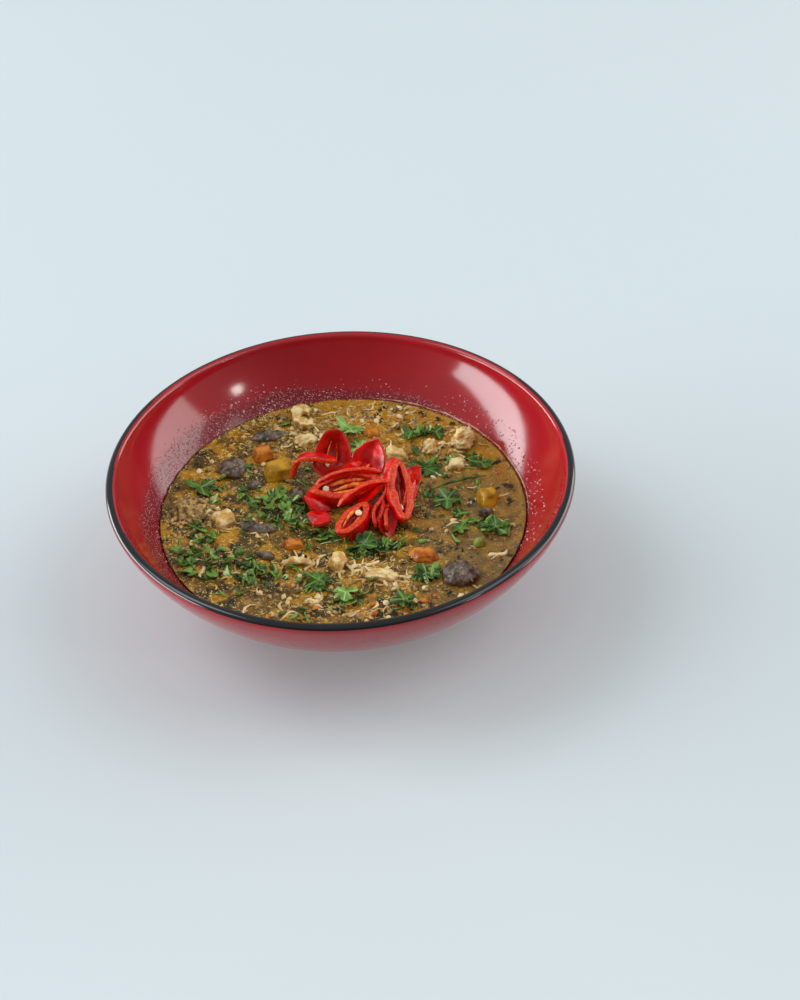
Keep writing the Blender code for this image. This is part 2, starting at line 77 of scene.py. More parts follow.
scene = bpy.context.scene
scene.view_settings.view_transform = "Standard"
camera = bpy.data.objects.new("camera", bpy.data.cameras.new("camera"))
scene.collection.objects.link(camera)
turned = Matrix((EYE_RIGHT, EYE_UP, EYE_BACK)).transposed().to_4x4()
camera.matrix_world = Matrix.Translation(EYE) @ turned
camera.data.lens = LENS
camera.data.sensor_width = 36.0
camera.data.clip_start = 0.01
camera.data.clip_end = 50.0
scene.camera = camera


def linear(code):
    parts = [int(code[place:place + 2], 16) / 255.0 for place in (1, 3, 5)]
    return [part / 12.92 if part <= 0.04045 else ((part + 0.055) / 1.055) ** 2.4 for part in parts] + [1.0]


def node(tree, kind, settings=None, inputs=None, links=None):
    made = tree.nodes.new(kind)
    for key, value in (settings or {}).items():
        setattr(made, key, value)
    for key, value in (inputs or {}).items():
        made.inputs[key].default_value = value
    for key, source in (links or {}).items():
        tree.links.new(source, made.inputs[key])
    return made


def finish_of(name, colour, roughness, **inputs):
    made = bpy.data.materials.new(name)
    made.use_nodes = True
    shader = made.node_tree.nodes["Principled BSDF"]
    shader.inputs["Base Color"].default_value = linear(colour)
    shader.inputs["Roughness"].default_value = roughness
    for key, value in inputs.items():
        shader.inputs[key.replace("_", " ")].default_value = value
    made.diffuse_color = linear(colour)
    return made, made.node_tree, shader


def blend_colours(tree, first, second, share):
    mixed = node(tree, "ShaderNodeMix", {"data_type": "RGBA"})
    for socket, source in ((6, first), (7, second), (0, share)):
        if isinstance(source, (str, float)):
            mixed.inputs[socket].default_value = linear(source) if isinstance(source, str) else source
        else:
            tree.links.new(source, mixed.inputs[socket])
    return mixed.outputs[2]


def ramp(tree, source, low, high):
    made = node(tree, "ShaderNodeMapRange", {"interpolation_type": "SMOOTHSTEP"}, {1: low, 2: high}, {0: source})
    return made.outputs[0]


def relief(tree, shader, height, depth_mm):
    made = node(tree, "ShaderNodeBump", None, {"Strength": 1.0, "Distance": depth_mm * MM}, {"Height": height})
    tree.links.new(made.outputs[0], shader.inputs["Normal"])
    return made


def add_piece(name, mesh, look, *nodes):
    made = bpy.data.objects.new(name, mesh)
    scene.collection.objects.link(made)
    if look is not None:
        mesh.materials.clear()
        mesh.materials.append(look)
    mesh.shade_smooth()
    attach(made, "root")
    if nodes:
        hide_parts(*nodes)
    return made


# the board is painted, so its gloss is broad and faint and its colour drifts a little
board, board_tree, board_shader = finish_of("matt painted board", BOARD_COLOUR, 0.62)
board_place = node(board_tree, "ShaderNodeTexCoord").outputs["Object"]
drift = node(board_tree, "ShaderNodeTexNoise", None, {"Scale": 1.4, "Detail": 2.0}, {"Vector": board_place})
board_colour = blend_colours(board_tree, "#c5cfd2", "#ced5d7", drift.outputs["Fac"])
board_tree.links.new(board_colour, board_shader.inputs["Base Color"])
floor_mesh = bpy.data.meshes.new("floor")
form = bmesh.new()
bmesh.ops.create_grid(form, x_segments=8, y_segments=8, size=FLOOR_SIDE / 2)
form.to_mesh(floor_mesh)
form.free()
floor = bpy.data.objects.new("floor", floor_mesh)
scene.collection.objects.link(floor)
floor_mesh.materials.append(board)

world = bpy.data.worlds.new("daylight")
scene.world = world
world.use_nodes = True
sky = world.node_tree.nodes["Background"]
sky.inputs["Color"].default_value = linear(SKY_COLOUR)
heading = node(world.node_tree, "ShaderNodeTexCoord").outputs["Generated"]
forward = node(world.node_tree, "ShaderNodeSeparateXYZ", None, None, {0: heading}).outputs[1]
fade = node(world.node_tree, "ShaderNodeMapRange", {"interpolation_type": "SMOOTHSTEP"}, {1: -0.95, 2: -0.35, 3: SKY_FRONT, 4: SKY_STRENGTH}, {0: forward})
world.node_tree.links.new(fade.outputs[0], sky.inputs["Strength"])


def lamp(name, way, distance, size, power, colour):
    data = bpy.data.lights.new(name, "AREA")
    data.shape = "RECTANGLE"
    data.size = size[0]
    data.size_y = size[1]
    data.energy = power
    data.color = linear(colour)[:3]
    made = bpy.data.objects.new(name, data)
    scene.collection.objects.link(made)
    aim = Vector(way).normalized()
    middle = Vector((0.0, 0.0, 0.045))
    made.matrix_world = Matrix.Translation(middle + aim * distance) @ aim.to_track_quat("Z", "Y").to_matrix().to_4x4()
    return made


lamp("window", (-0.975, 0.13, 0.18), 2.3, (2.9, 0.82), 72.0, "#f6fafc")
lamp("front lamp", (0.73, -0.51, 0.42), 1.6, (0.14, 0.14), 1.3, "#fff6ee")
lamp("pale card", (0.94, 0.28, 0.26), 2.0, (1.9, 1.0), 26.0, "#f4f1f0")
lamp("high window", (-0.62, 0.1, 0.78), 1.9, (1.0, 1.0), 12.0, "#f4f8fc")
lamp("high card", (0.62, -0.04, 0.78), 1.9, (1.2, 1.0), 8.0, "#f4f8fc")


# Bowl: thrown stoneware on a low foot ring, dipped in a deep red gloss glaze, with
# its rounded rim brushed black. The red shows right up to the black line.
RIM_RADIUS = 82.5
WIDEST_HEIGHT = 52.0
WALL = 3.6
WALL_DEPTH = 46.0
BELLY_RADIUS = 16.5
BELLY_CURVE = 1.32
BELLY_ROUND = 2.1
FOOT_RADIUS = 30.4
FOOT_WIDTH = 3.4
RECESS_HEIGHT = 5.2
FLOOR_HEIGHT = 9.6
SOUP_LEVEL = 31.7
BOWL_STEPS = 192


def outer_radius(drop):
    share = min(max(drop / WALL_DEPTH, 0.0), 1.0)
    return BELLY_RADIUS + (RIM_RADIUS - BELLY_RADIUS) * (1.0 - share ** BELLY_CURVE) ** (1.0 / BELLY_ROUND)


def wall_spot(offset, share):
    drop = share * WALL_DEPTH
    step = 0.002 * WALL_DEPTH
    rise = outer_radius(max(drop - step, 0.0)) - outer_radius(drop + step)
    run = drop + step - max(drop - step, 0.0)
    long = math.hypot(rise, run)
    return outer_radius(drop) - offset * run / long, WIDEST_HEIGHT - drop + offset * rise / long


def turned_mesh(name, profile, steps, marks=None):
    spots = []
    faces = []
    starts = []
    for radius, height in profile:
        starts.append(len(spots))
        count = 1 if radius < 1e-6 else steps
        for index in range(count):
            turn = math.tau * index / steps
            spots.append((radius * math.cos(turn) * MM, radius * math.sin(turn) * MM, height * MM))
    for row in range(len(profile) - 1):
        for index in range(steps):
            after = (index + 1) % steps
            ring = []
            for start, radius, pair in ((starts[row], profile[row][0], (index, after)), (starts[row + 1], profile[row + 1][0], (after, index))):
                ring += [start] if radius < 1e-6 else [start + pair[0], start + pair[1]]
            faces.append(ring)
    mesh = bpy.data.meshes.new(name)
    mesh.from_pydata(spots, [], faces)
    if marks:
        layer = mesh.attributes.new("mark", "FLOAT", "POINT")
        values = []
        for row, (radius, height) in enumerate(profile):
            values += [marks(row, math.tau * index / steps) for index in range(1 if radius < 1e-6 else steps)]
        layer.data.foreach_set("value", values)
    form = bmesh.new()
    form.from_mesh(mesh)
    bmesh.ops.recalc_face_normals(form, faces=form.faces)
    form.to_mesh(mesh)
    form.free()
    return mesh


inside = [wall_spot(WALL, 0.02 + 0.86 * (index / 40) ** 1.05) for index in range(41)]
outside = [wall_spot(0.0, 0.9 * (index / 40) ** 1.1) for index in range(41)]
bead = []
for degrees in range(172, 7, -12):
    half = WALL / 2
    turn = math.radians(degrees)
    bead.append((RIM_RADIUS - half + half * math.cos(turn), WIDEST_HEIGHT + half * 0.966 * math.sin(turn)))
foot = [
    (FOOT_RADIUS + 1.6, 7.4), (FOOT_RADIUS + 0.5, 6.6), (FOOT_RADIUS, 5.6), (FOOT_RADIUS - 0.3, 0.7),
    (FOOT_RADIUS - 0.5, 0.2), (FOOT_RADIUS - 0.9, 0.0), (FOOT_RADIUS - FOOT_WIDTH + 0.6, 0.0),
    (FOOT_RADIUS - FOOT_WIDTH + 0.1, 0.2), (FOOT_RADIUS - FOOT_WIDTH, 0.7), (FOOT_RADIUS - FOOT_WIDTH - 1.0, 4.0),
    (FOOT_RADIUS - FOOT_WIDTH - 2.4, 4.9), (FOOT_RADIUS - FOOT_WIDTH - 5.0, RECESS_HEIGHT), (0.0, RECESS_HEIGHT + 0.4),
]
bowl_profile = [(0.0, FLOOR_HEIGHT)] + inside[::-1] + bead + outside + foot


# the black was brushed by hand, so it starts nearer the inside on one side than on the other
def rim_mark(row, turn):
    step = row - 1 - len(inside)
    if step < 0:
        return -1.0
    return 1.0 if 4.8 + 2.2 * math.sin(turn) <= step < len(bead) - 1 else 0.0


bowl_mesh = turned_mesh("bowl", bowl_profile, BOWL_STEPS, rim_mark)

# gloss glaze: a clear smooth skin over an even colour, with faint ripples 6 mm apart
glaze, tree, shader = finish_of("red gloss glaze", "#a3141d", 0.12, IOR=1.52)
place = node(tree, "ShaderNodeTexCoord").outputs["Object"]
mark = node(tree, "ShaderNodeAttribute", {"attribute_name": "mark"}).outputs["Fac"]
cloud = node(tree, "ShaderNodeTexNoise", None, {"Scale": 60.0, "Detail": 2.0}, {"Vector": place}).outputs["Fac"]
reds = blend_colours(tree, "#94121a", "#a8161f", cloud)
height = node(tree, "ShaderNodeSeparateXYZ", None, None, {0: place}).outputs[2]
splash = node(tree, "ShaderNodeTexNoise", None, {"Scale": 28.0, "Detail": 2.0}, {"Vector": place}).outputs["Fac"]
parts = node(tree, "ShaderNodeSeparateXYZ", None, None, {0: place}).outputs
leftward = node(tree, "ShaderNodeMath", {"operation": "MULTIPLY_ADD"}, {1: 0.045, 2: -0.0045}, {0: parts[0]})
reached = node(tree, "ShaderNodeMath", {"operation": "MULTIPLY_ADD"}, {1: -0.008}, {0: splash, 2: leftward.outputs[0]})
line = node(tree, "ShaderNodeMath", {"operation": "ADD"}, None, {0: height, 1: reached.outputs[0]})
low = ramp(tree, line.outputs[0], 28.5 * MM, 24.5 * MM)
filmy = node(tree, "ShaderNodeMath", {"operation": "MULTIPLY"}, None, {0: low, 1: ramp(tree, mark, -0.5, -0.95)}).outputs[0]
# fine drops of broth on the film band: the middle of each drop is painted pale pink, a painted highlight for the drops'
# glints, and the drops also raise the bump
beads = node(tree, "ShaderNodeTexVoronoi", None, {"Scale": 1150.0, "Randomness": 1.0}, {"Vector": place}).outputs["Distance"]
film_drops_and_glints = node(tree, "ShaderNodeMath", {"operation": "MULTIPLY"}, None, {0: ramp(tree, beads, 0.42, 0.2), 1: filmy})
reds = blend_colours(tree, reds, "#7a1820", filmy)
reds = blend_colours(tree, reds, "#b8696c", film_drops_and_glints.outputs[0])
tree.links.new(blend_colours(tree, reds, "#0d0c0e", ramp(tree, mark, 0.35, 0.6)), shader.inputs["Base Color"])
ripple = node(tree, "ShaderNodeTexNoise", None, {"Scale": 160.0, "Detail": 1.0}, {"Vector": place}).outputs["Fac"]
skin = node(tree, "ShaderNodeMath", {"operation": "MULTIPLY_ADD"}, {1: 6.0}, {0: film_drops_and_glints.outputs[0], 2: ripple})
relief(tree, shader, skin.outputs[0], 0.02)
bowl = add_piece("glazed_bowl", bowl_mesh, glaze, "bowl")


# Soup: thick opaque broth, brown-olive with golden oil, filled to 20 mm below the rim.
# Its skin is uneven with fine shreds, and it climbs a little where it meets the glaze.
SOUP_CELLS = 236
SOUP_STEPS = 96


def inside_radius(height):
    best = min(range(len(inside) - 1), key=lambda index: abs(inside[index][1] - height))
    pair = (best, best + 1) if inside[best][1] >= height else (best - 1, best)
    (outer, high), (inner, low) = inside[pair[0]], inside[pair[1]]
    return inner + (outer - inner) * (height - low) / (high - low)


SOUP_EDGE = inside_radius(SOUP_LEVEL) - 0.1


def soup_height(x, y):
    spot = Vector((x, y, 0.0))
    swell = 0.3 * noise.noise(spot / 7.0) + 0.26 * noise.noise(spot / 3.1 + Vector((9.0, 4.0, 2.0)))
    grain = 0.16 * max(noise.noise(spot / 1.3 + Vector((3.0, 7.0, 1.0))), -0.1)
    calm = min(max((x - 20.0) / 25.0, 0.0), 1.0)
    edge = 0.75 * math.exp(-(SOUP_EDGE - math.hypot(x, y)) / 0.8)
    return SOUP_LEVEL + swell * (1.0 - 0.5 * calm) + grain + edge


form = bmesh.new()
bmesh.ops.create_grid(form, x_segments=SOUP_CELLS, y_segments=SOUP_CELLS, size=1.0)
for vert in form.verts:
    x, y = vert.co.x, vert.co.y
    large, small = (x, y) if abs(x) >= abs(y) else (y, x)
    turn = math.pi / 4 * small / large if large else 0.0
    across, along = large * math.cos(turn), large * math.sin(turn)
    x, y = (across, along) if abs(vert.co.x) >= abs(vert.co.y) else (along, across)
    x *= SOUP_EDGE
    y *= SOUP_EDGE
    vert.co = Vector((x, y, soup_height(x, y))) * MM
rim_edges = [edge for edge in form.edges if edge.is_boundary]
for level in (28.0, 24.0, 18.0, 12.0, FLOOR_HEIGHT + 0.3):
    grown = bmesh.ops.extrude_edge_only(form, edges=rim_edges)["geom"]
    for vert in [part for part in grown if isinstance(part, bmesh.types.BMVert)]:
        wide = (max(inside_radius(max(level, 11.0)), 8.0) - 0.4) * MM
        flat = Vector((vert.co.x, vert.co.y)).normalized() * wide
        vert.co = Vector((flat.x, flat.y, level * MM))
    rim_edges = [part for part in grown if isinstance(part, bmesh.types.BMEdge)]
bmesh.ops.holes_fill(form, edges=rim_edges, sides=0)
bmesh.ops.recalc_face_normals(form, faces=form.faces)
soup_mesh = bpy.data.meshes.new("soup")
form.to_mesh(soup_mesh)
form.free()

# broth: starch and fat make it opaque and half glossy, with oil eyes 1 to 3 mm wide
broth, tree, shader = finish_of("thick brown broth", "#7d5f2c", 0.1, IOR=1.42)
place = node(tree, "ShaderNodeTexCoord").outputs["Object"]
wide = node(tree, "ShaderNodeTexNoise", None, {"Scale": 70.0, "Detail": 3.0}, {"Vector": place}).outputs["Fac"]
cloudy = node(tree, "ShaderNodeTexNoise", None, {"Scale": 210.0, "Detail": 4.0, "Roughness": 0.6}, {"Vector": place}).outputs["Fac"]
fibres = node(tree, "ShaderNodeTexNoise", None, {"Scale": 330.0, "Detail": 3.0, "Distortion": 2.2}, {"Vector": place}).outputs["Fac"]
golden = node(tree, "ShaderNodeTexNoise", None, {"Scale": 105.0, "Detail": 4.0, "Roughness": 0.65}, {"Vector": place}).outputs["Fac"]
across, away = node(tree, "ShaderNodeSeparateXYZ", None, None, {0: place}).outputs[0:2]
busy = node(tree, "ShaderNodeMapRange", {"interpolation_type": "SMOOTHSTEP"}, {1: 0.012, 2: 0.045, 3: 1.0, 4: 0.3}, {0: across}).outputs[0]
colour = blend_colours(tree, "#3a2a08", "#7e5a16", ramp(tree, wide, 0.33, 0.62))
colour = blend_colours(tree, colour, "#775a2b", ramp(tree, across, 0.012, 0.045))
slanted = node(tree, "ShaderNodeMath", {"operation": "MULTIPLY_ADD"}, {1: 0.45}, {0: across, 2: away})
colour = blend_colours(tree, colour, "#ae7614", ramp(tree, slanted.outputs[0], 0.022, 0.056))
# the soup on the left, under the chopped coriander, is darkened up to a third of the way towards near black-brown:
# painted shade under the herbs
painted_shade_left = node(tree, "ShaderNodeMath", {"operation": "MULTIPLY"}, {1: 0.3}, {0: ramp(tree, across, -0.004, -0.022)})
colour = blend_colours(tree, colour, "#2f2208", painted_shade_left.outputs[0])
colour = blend_colours(tree, colour, "#a37a2a", ramp(tree, cloudy, 0.52, 0.7))
rich = node(tree, "ShaderNodeMath", {"operation": "MULTIPLY"}, None, {0: ramp(tree, golden, 0.49, 0.6), 1: busy})
colour = blend_colours(tree, colour, "#b07a08", rich.outputs[0])
colour = blend_colours(tree, colour, "#221803", ramp(tree, cloudy, 0.46, 0.34))
pale = node(tree, "ShaderNodeMath", {"operation": "MULTIPLY"}, None, {0: ramp(tree, fibres, 0.585, 0.68), 1: busy})
colour = blend_colours(tree, colour, "#d8b264", pale.outputs[0])
grains = node(tree, "ShaderNodeTexNoise", None, {"Scale": 800.0, "Detail": 2.0, "Distortion": 1.6}, {"Vector": place}).outputs["Fac"]
light_grains = node(tree, "ShaderNodeMath", {"operation": "MULTIPLY"}, None, {0: ramp(tree, grains, 0.6, 0.7), 1: busy})
colour = blend_colours(tree, colour, "#e6c878", light_grains.outputs[0])
colour = blend_colours(tree, colour, "#1d1504", ramp(tree, grains, 0.38, 0.28))
tree.links.new(colour, shader.inputs["Base Color"])
relief(tree, shader, fibres, 0.55)
soup = add_piece("soup_body", soup_mesh, broth, "soup")


# Meat, mushroom and root vegetables: pieces cooked soft in the broth. Each lies where
# its plain solid lies, with the surface that its kind has, and sinks a little in the soup.
CHUNK_CELL = 0.42


def chunk_mesh(name, rough, grain, fibres, turn, sink=0.9, smooth=8, square=0.0):
    form = bmesh.new()
    form.from_mesh(frame["nodes"][name].data)
    bmesh.ops.remove_doubles(form, verts=form.verts[:], dist=0.03 * MM)
    mesh = bpy.data.meshes.new(name)
    form.to_mesh(mesh)
    form.free()
    raw = bpy.data.objects.new(name, mesh)
    scene.collection.objects.link(raw)
    skin = raw.modifiers.new("skin", "REMESH")
    skin.mode = "VOXEL"
    skin.voxel_size = CHUNK_CELL * MM
    soft = raw.modifiers.new("soft", "SMOOTH")
    soft.factor = 0.5
    soft.iterations = smooth
    ready = raw.evaluated_get(bpy.context.evaluated_depsgraph_get())
    made = bpy.data.meshes.new_from_object(ready)
    bpy.data.objects.remove(raw, do_unlink=True)
    lay = Euler((0.0, 0.0, math.radians(-turn))).to_matrix()
    seed = Vector((sum(map(ord, name)) * 0.37, 0.0, 0.0))
    low = min(vert.co.z for vert in made.vertices)
    high = max(vert.co.z for vert in made.vertices)
    near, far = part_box(name)
    middle = (Vector(near) + Vector(far)) / 2
    half = (Vector(far) - Vector(near)) / 2
    moves = []
    for vert in made.vertices:
        parts = lay @ Vector([(a - b) / c for a, b, c in zip(vert.co, middle, half)])
        plain = sum(abs(part) ** 6 for part in parts) ** (1 / 6)
        corner = (vert.co - middle) * square * (parts.length / plain - 1.0)
        spot = lay @ (vert.co / MM)
        push = rough * (noise.noise(spot / grain + seed) + 0.4 * noise.noise(spot * 2.3 / grain + seed))
        push += fibres * noise.noise(Vector((spot.x / 3.6, spot.y / 0.8, spot.z / 0.8)) + seed)
        down = sink * (1.0 - (vert.co.z - low) / (high - low))
        moves.append(vert.co + corner + vert.normal * push * MM - Vector((0.0, 0.0, down * MM)))
    for vert, spot in zip(made.vertices, moves):
        vert.co = spot
    return made


def stained(tree, place, colour, broth_colour="#8a6020"):
    height = node(tree, "ShaderNodeSeparateXYZ", None, None, {0: place}).outputs[2]
    worn = node(tree, "ShaderNodeTexNoise", None, {"Scale": 420.0, "Detail": 2.0}, {"Vector": place}).outputs["Fac"]
    level = node(tree, "ShaderNodeMath", {"operation": "MULTIPLY_ADD"}, {1: 0.0036, 2: 0.0}, {0: worn})
    above = node(tree, "ShaderNodeMath", {"operation": "SUBTRACT"}, None, {0: height, 1: level.outputs[0]})
    dry = ramp(tree, above.outputs[0], (SOUP_LEVEL - 1.7) * MM, (SOUP_LEVEL - 0.2) * MM)
    return blend_colours(tree, broth_colour, colour, dry)


# chicken: boiled white meat, pale cream and dull, torn along its fibres
chicken, tree, shader = finish_of("boiled chicken meat", "#e6cb92", 0.42, IOR=1.4)
place = node(tree, "ShaderNodeTexCoord").outputs["Object"]
patchy = node(tree, "ShaderNodeTexNoise", None, {"Scale": 330.0, "Detail": 3.0}, {"Vector": place}).outputs["Fac"]
fine = node(tree, "ShaderNodeTexNoise", None, {"Scale": 1400.0, "Detail": 3.0}, {"Vector": place}).outputs["Fac"]
colour = blend_colours(tree, "#cb9a48", "#f1d99c", ramp(tree, patchy, 0.34, 0.6))
colour = blend_colours(tree, colour, "#b98a44", ramp(tree, fine, 0.4, 0.28))
tree.links.new(stained(tree, place, colour), shader.inputs["Base Color"])
relief(tree, shader, fine, 0.2)
chicken_turns = {
    "chicken_curl": 10, "chicken_behind": 20, "chicken_back_right": 28, "chicken_by_chilli": -12,
    "chicken_upper_right": 15, "chicken_cube": -8, "chicken_left": 25, "chicken_front_left": -12,
    "chicken_front": 50, "chicken_front_right": -24, "chicken_near_rim": 4,
}
for name, turn in chicken_turns.items():
    if name in ("chicken_cube", "chicken_left", "chicken_by_chilli", "chicken_front"):
        mesh = chunk_mesh(name, 0.4, 2.6, 0.25, turn, sink=1.4, smooth=1, square=0.55)
    else:
        mesh = chunk_mesh(name, 0.8, 2.6, 0.9, turn, sink=1.4, smooth=1)
    made = add_piece("meat_" + name, mesh, chicken, name)

# mushroom: dark purple-grey flesh, wet and smooth, with a paler cut edge
mushroom, tree, shader = finish_of("stewed dark mushroom", "#4f4238", 0.34, IOR=1.42)
place = node(tree, "ShaderNodeTexCoord").outputs["Object"]
patchy = node(tree, "ShaderNodeTexNoise", None, {"Scale": 260.0, "Detail": 3.0}, {"Vector": place}).outputs["Fac"]
fine = node(tree, "ShaderNodeTexNoise", None, {"Scale": 1100.0, "Detail": 4.0}, {"Vector": place}).outputs["Fac"]
colour = blend_colours(tree, "#3a2d20", "#75675a", ramp(tree, patchy, 0.36, 0.62))
colour = blend_colours(tree, colour, "#9a8665", ramp(tree, fine, 0.54, 0.7))
tree.links.new(stained(tree, place, colour, "#5b4426"), shader.inputs["Base Color"])
relief(tree, shader, fine, 0.12)
mushroom_turns = {
    "mushroom_cap": -10, "mushroom_slice_left": -16, "mushroom_upper_left": 20, "mushroom_back": 8,
    "mushroom_round": 60, "mushroom_small_right": -8, "mushroom_dark_left": 10, "mushroom_front": -20,
}
for name, turn in mushroom_turns.items():
    made = add_piece("cut_" + name, chunk_mesh(name, 1.0, 2.8, 0.2, turn, sink=1.7, smooth=3), mushroom, name)

# squash and carrot: soft orange to amber flesh, diced, with rounded wet corners
root_looks = {}
for name, dark, light in (("amber squash flesh", "#9a6f0f", "#c9951f"), ("orange carrot flesh", "#9c4c0c", "#d48026")):
    look, tree, shader = finish_of(name, light, 0.25, IOR=1.4)
    place = node(tree, "ShaderNodeTexCoord").outputs["Object"]
    patchy = node(tree, "ShaderNodeTexNoise", None, {"Scale": 300.0, "Detail": 3.0}, {"Vector": place}).outputs["Fac"]
    colour = blend_colours(tree, dark, light, ramp(tree, patchy, 0.32, 0.62))
    tree.links.new(colour, shader.inputs["Base Color"])
    relief(tree, shader, patchy, 0.15)
    root_looks[name] = look
for name in ("squash_cube", "squash_right", "carrot_cube", "carrot_slice", "carrot_left", "carrot_behind"):
    kind = "amber squash flesh" if name.startswith("squash") else "orange carrot flesh"
    made = add_piece("diced_" + name, chunk_mesh(name, 0.15, 1.8, 0.0, 12, 0.3, 1, 0.75), root_looks[kind], name)

# pea: olive green skin, dull from cooking
pea_look, tree, shader = finish_of("cooked pea skin", "#76802c", 0.35, IOR=1.4)
place = node(tree, "ShaderNodeTexCoord").outputs["Object"]
patchy = node(tree, "ShaderNodeTexNoise", None, {"Scale": 500.0, "Detail": 2.0}, {"Vector": place}).outputs["Fac"]
tree.links.new(blend_colours(tree, "#5c6420", "#98a545", patchy), shader.inputs["Base Color"])
pea = add_piece("cooked_pea", chunk_mesh("pea", 0.12, 1.6, 0.0, 0), pea_look, "pea")

# minced meat: a clump of browned crumbs 1 to 2 mm across
mince_look, tree, shader = finish_of("browned minced meat", "#8a7048", 0.55, IOR=1.4)
place = node(tree, "ShaderNodeTexCoord").outputs["Object"]
patchy = node(tree, "ShaderNodeTexNoise", None, {"Scale": 700.0, "Detail": 3.0}, {"Vector": place}).outputs["Fac"]
tree.links.new(blend_colours(tree, "#644820", "#c4a062", ramp(tree, patchy, 0.35, 0.66)), shader.inputs["Base Color"])
relief(tree, shader, patchy, 0.3)
mince = add_piece("mince_clump", chunk_mesh("minced_meat", 1.5, 1.7, 0.3, 0, sink=1.6, smooth=3), mince_look, "minced_meat")


# Coriander leaves: fresh thin blades, lobed and toothed, with paler veins and short
# stalks. They are laid on the soup by hand and curl a little where they dry.
LEAF_RINGS = 7
LEAF_STEPS = 84


def leaf_reach(turn, lobes, seed):
    side = abs(math.remainder(turn, math.tau / lobes))
    reach = 1.0 - (0.56 if lobes == 3 else 0.4) * math.exp(-(((math.pi / lobes - side) / 0.22) ** 2))
    reach -= (0.3 if lobes == 3 else 0.16) * math.exp(-(((side - 0.42 * math.pi / lobes) / 0.1) ** 2))
    reach -= 0.13 * abs(math.sin(lobes * 3.5 * turn + 0.4 * seed)) ** 0.6
    reach += 0.16 * noise.noise(Vector((2.0 * math.cos(turn), 2.0 * math.sin(turn), seed * 1.7)))
    return reach


def leaf_rows(length, width, lobes, seed, curl):
    spots = []
    veins = []
    for ring in range(LEAF_RINGS + 1):
        share = ring / LEAF_RINGS
        for step in range(LEAF_STEPS):
            turn = math.tau * step / LEAF_STEPS
            reach = leaf_reach(turn, lobes, seed) * share * 0.5
            x = -length * reach * math.cos(turn)
            y = width * reach * math.sin(turn)
            ruffle = 0.1 * math.sin(lobes * turn + seed) + 0.12 * noise.noise(Vector((x / 3.0, y / 3.0, seed)))
            z = length * share * (ruffle * 0.5 + curl * share * 0.09 * math.cos(2 * turn + seed)) + 0.1 * abs(y)
            spots.append(Vector((x, y, z)))
            side = min(abs(math.remainder(turn - math.tau * k / lobes, math.tau)) for k in range(lobes))
            veins.append(max(1.0 - side * reach * length / 0.5, 0.0))
    return spots, veins


def leaf_mesh(name, spots, veins, thick=0.22):
    faces = []
    for ring in range(LEAF_RINGS):
        for step in range(LEAF_STEPS):
            after = (step + 1) % LEAF_STEPS
            row, following = ring * LEAF_STEPS, (ring + 1) * LEAF_STEPS
            faces.append((row + step, following + step, following + after, row + after))
    mesh = bpy.data.meshes.new(name)
    mesh.from_pydata([tuple(spot * MM) for spot in spots], [], faces)
    layer = mesh.attributes.new("vein", "FLOAT", "POINT")
    layer.data.foreach_set("value", veins)
    form = bmesh.new()
    form.from_mesh(mesh)
    bmesh.ops.remove_doubles(form, verts=form.verts[:], dist=0.004 * MM)
    bmesh.ops.recalc_face_normals(form, faces=form.faces[:])
    bmesh.ops.solidify(form, geom=form.faces[:], thickness=thick * MM)
    form.to_mesh(mesh)
    form.free()
    return mesh


# coriander: matt waxy blade, deep green, lighter where light comes through, pale veins
def coriander(name, dark, light, vein):
    look, tree, shader = finish_of(name, light, 0.3, IOR=1.45, Subsurface_Weight=0.08)
    place = node(tree, "ShaderNodeTexCoord").outputs["Object"]
    patchy = node(tree, "ShaderNodeTexNoise", None, {"Scale": 260.0, "Detail": 3.0}, {"Vector": place}).outputs["Fac"]
    fine = node(tree, "ShaderNodeTexNoise", None, {"Scale": 1300.0, "Detail": 2.0}, {"Vector": place}).outputs["Fac"]
    lines = node(tree, "ShaderNodeAttribute", {"attribute_name": "vein"}).outputs["Fac"]
    tint = node(tree, "ShaderNodeAttribute", {"attribute_name": "tint"}).outputs["Fac"]
    colour = blend_colours(tree, dark, light, ramp(tree, patchy, 0.32, 0.66))
    colour = blend_colours(tree, colour, vein, ramp(tree, tint, 0.6, 1.0))
    # strewn bits with a low tint are darkened towards black-green: painted shade for the lower layers of the heap
    shaded = node(tree, "ShaderNodeMath", {"operation": "MULTIPLY"}, None, {0: ramp(tree, tint, 0.45, 0.1), 1: ramp(tree, tint, 0.0, 0.01)})
    colour = blend_colours(tree, colour, "#0f2208", shaded.outputs[0])
    colour = blend_colours(tree, colour, vein, ramp(tree, lines, 0.15, 1.0))
    tree.links.new(colour, shader.inputs["Base Color"])
    relief(tree, shader, fine, 0.12)
    return look


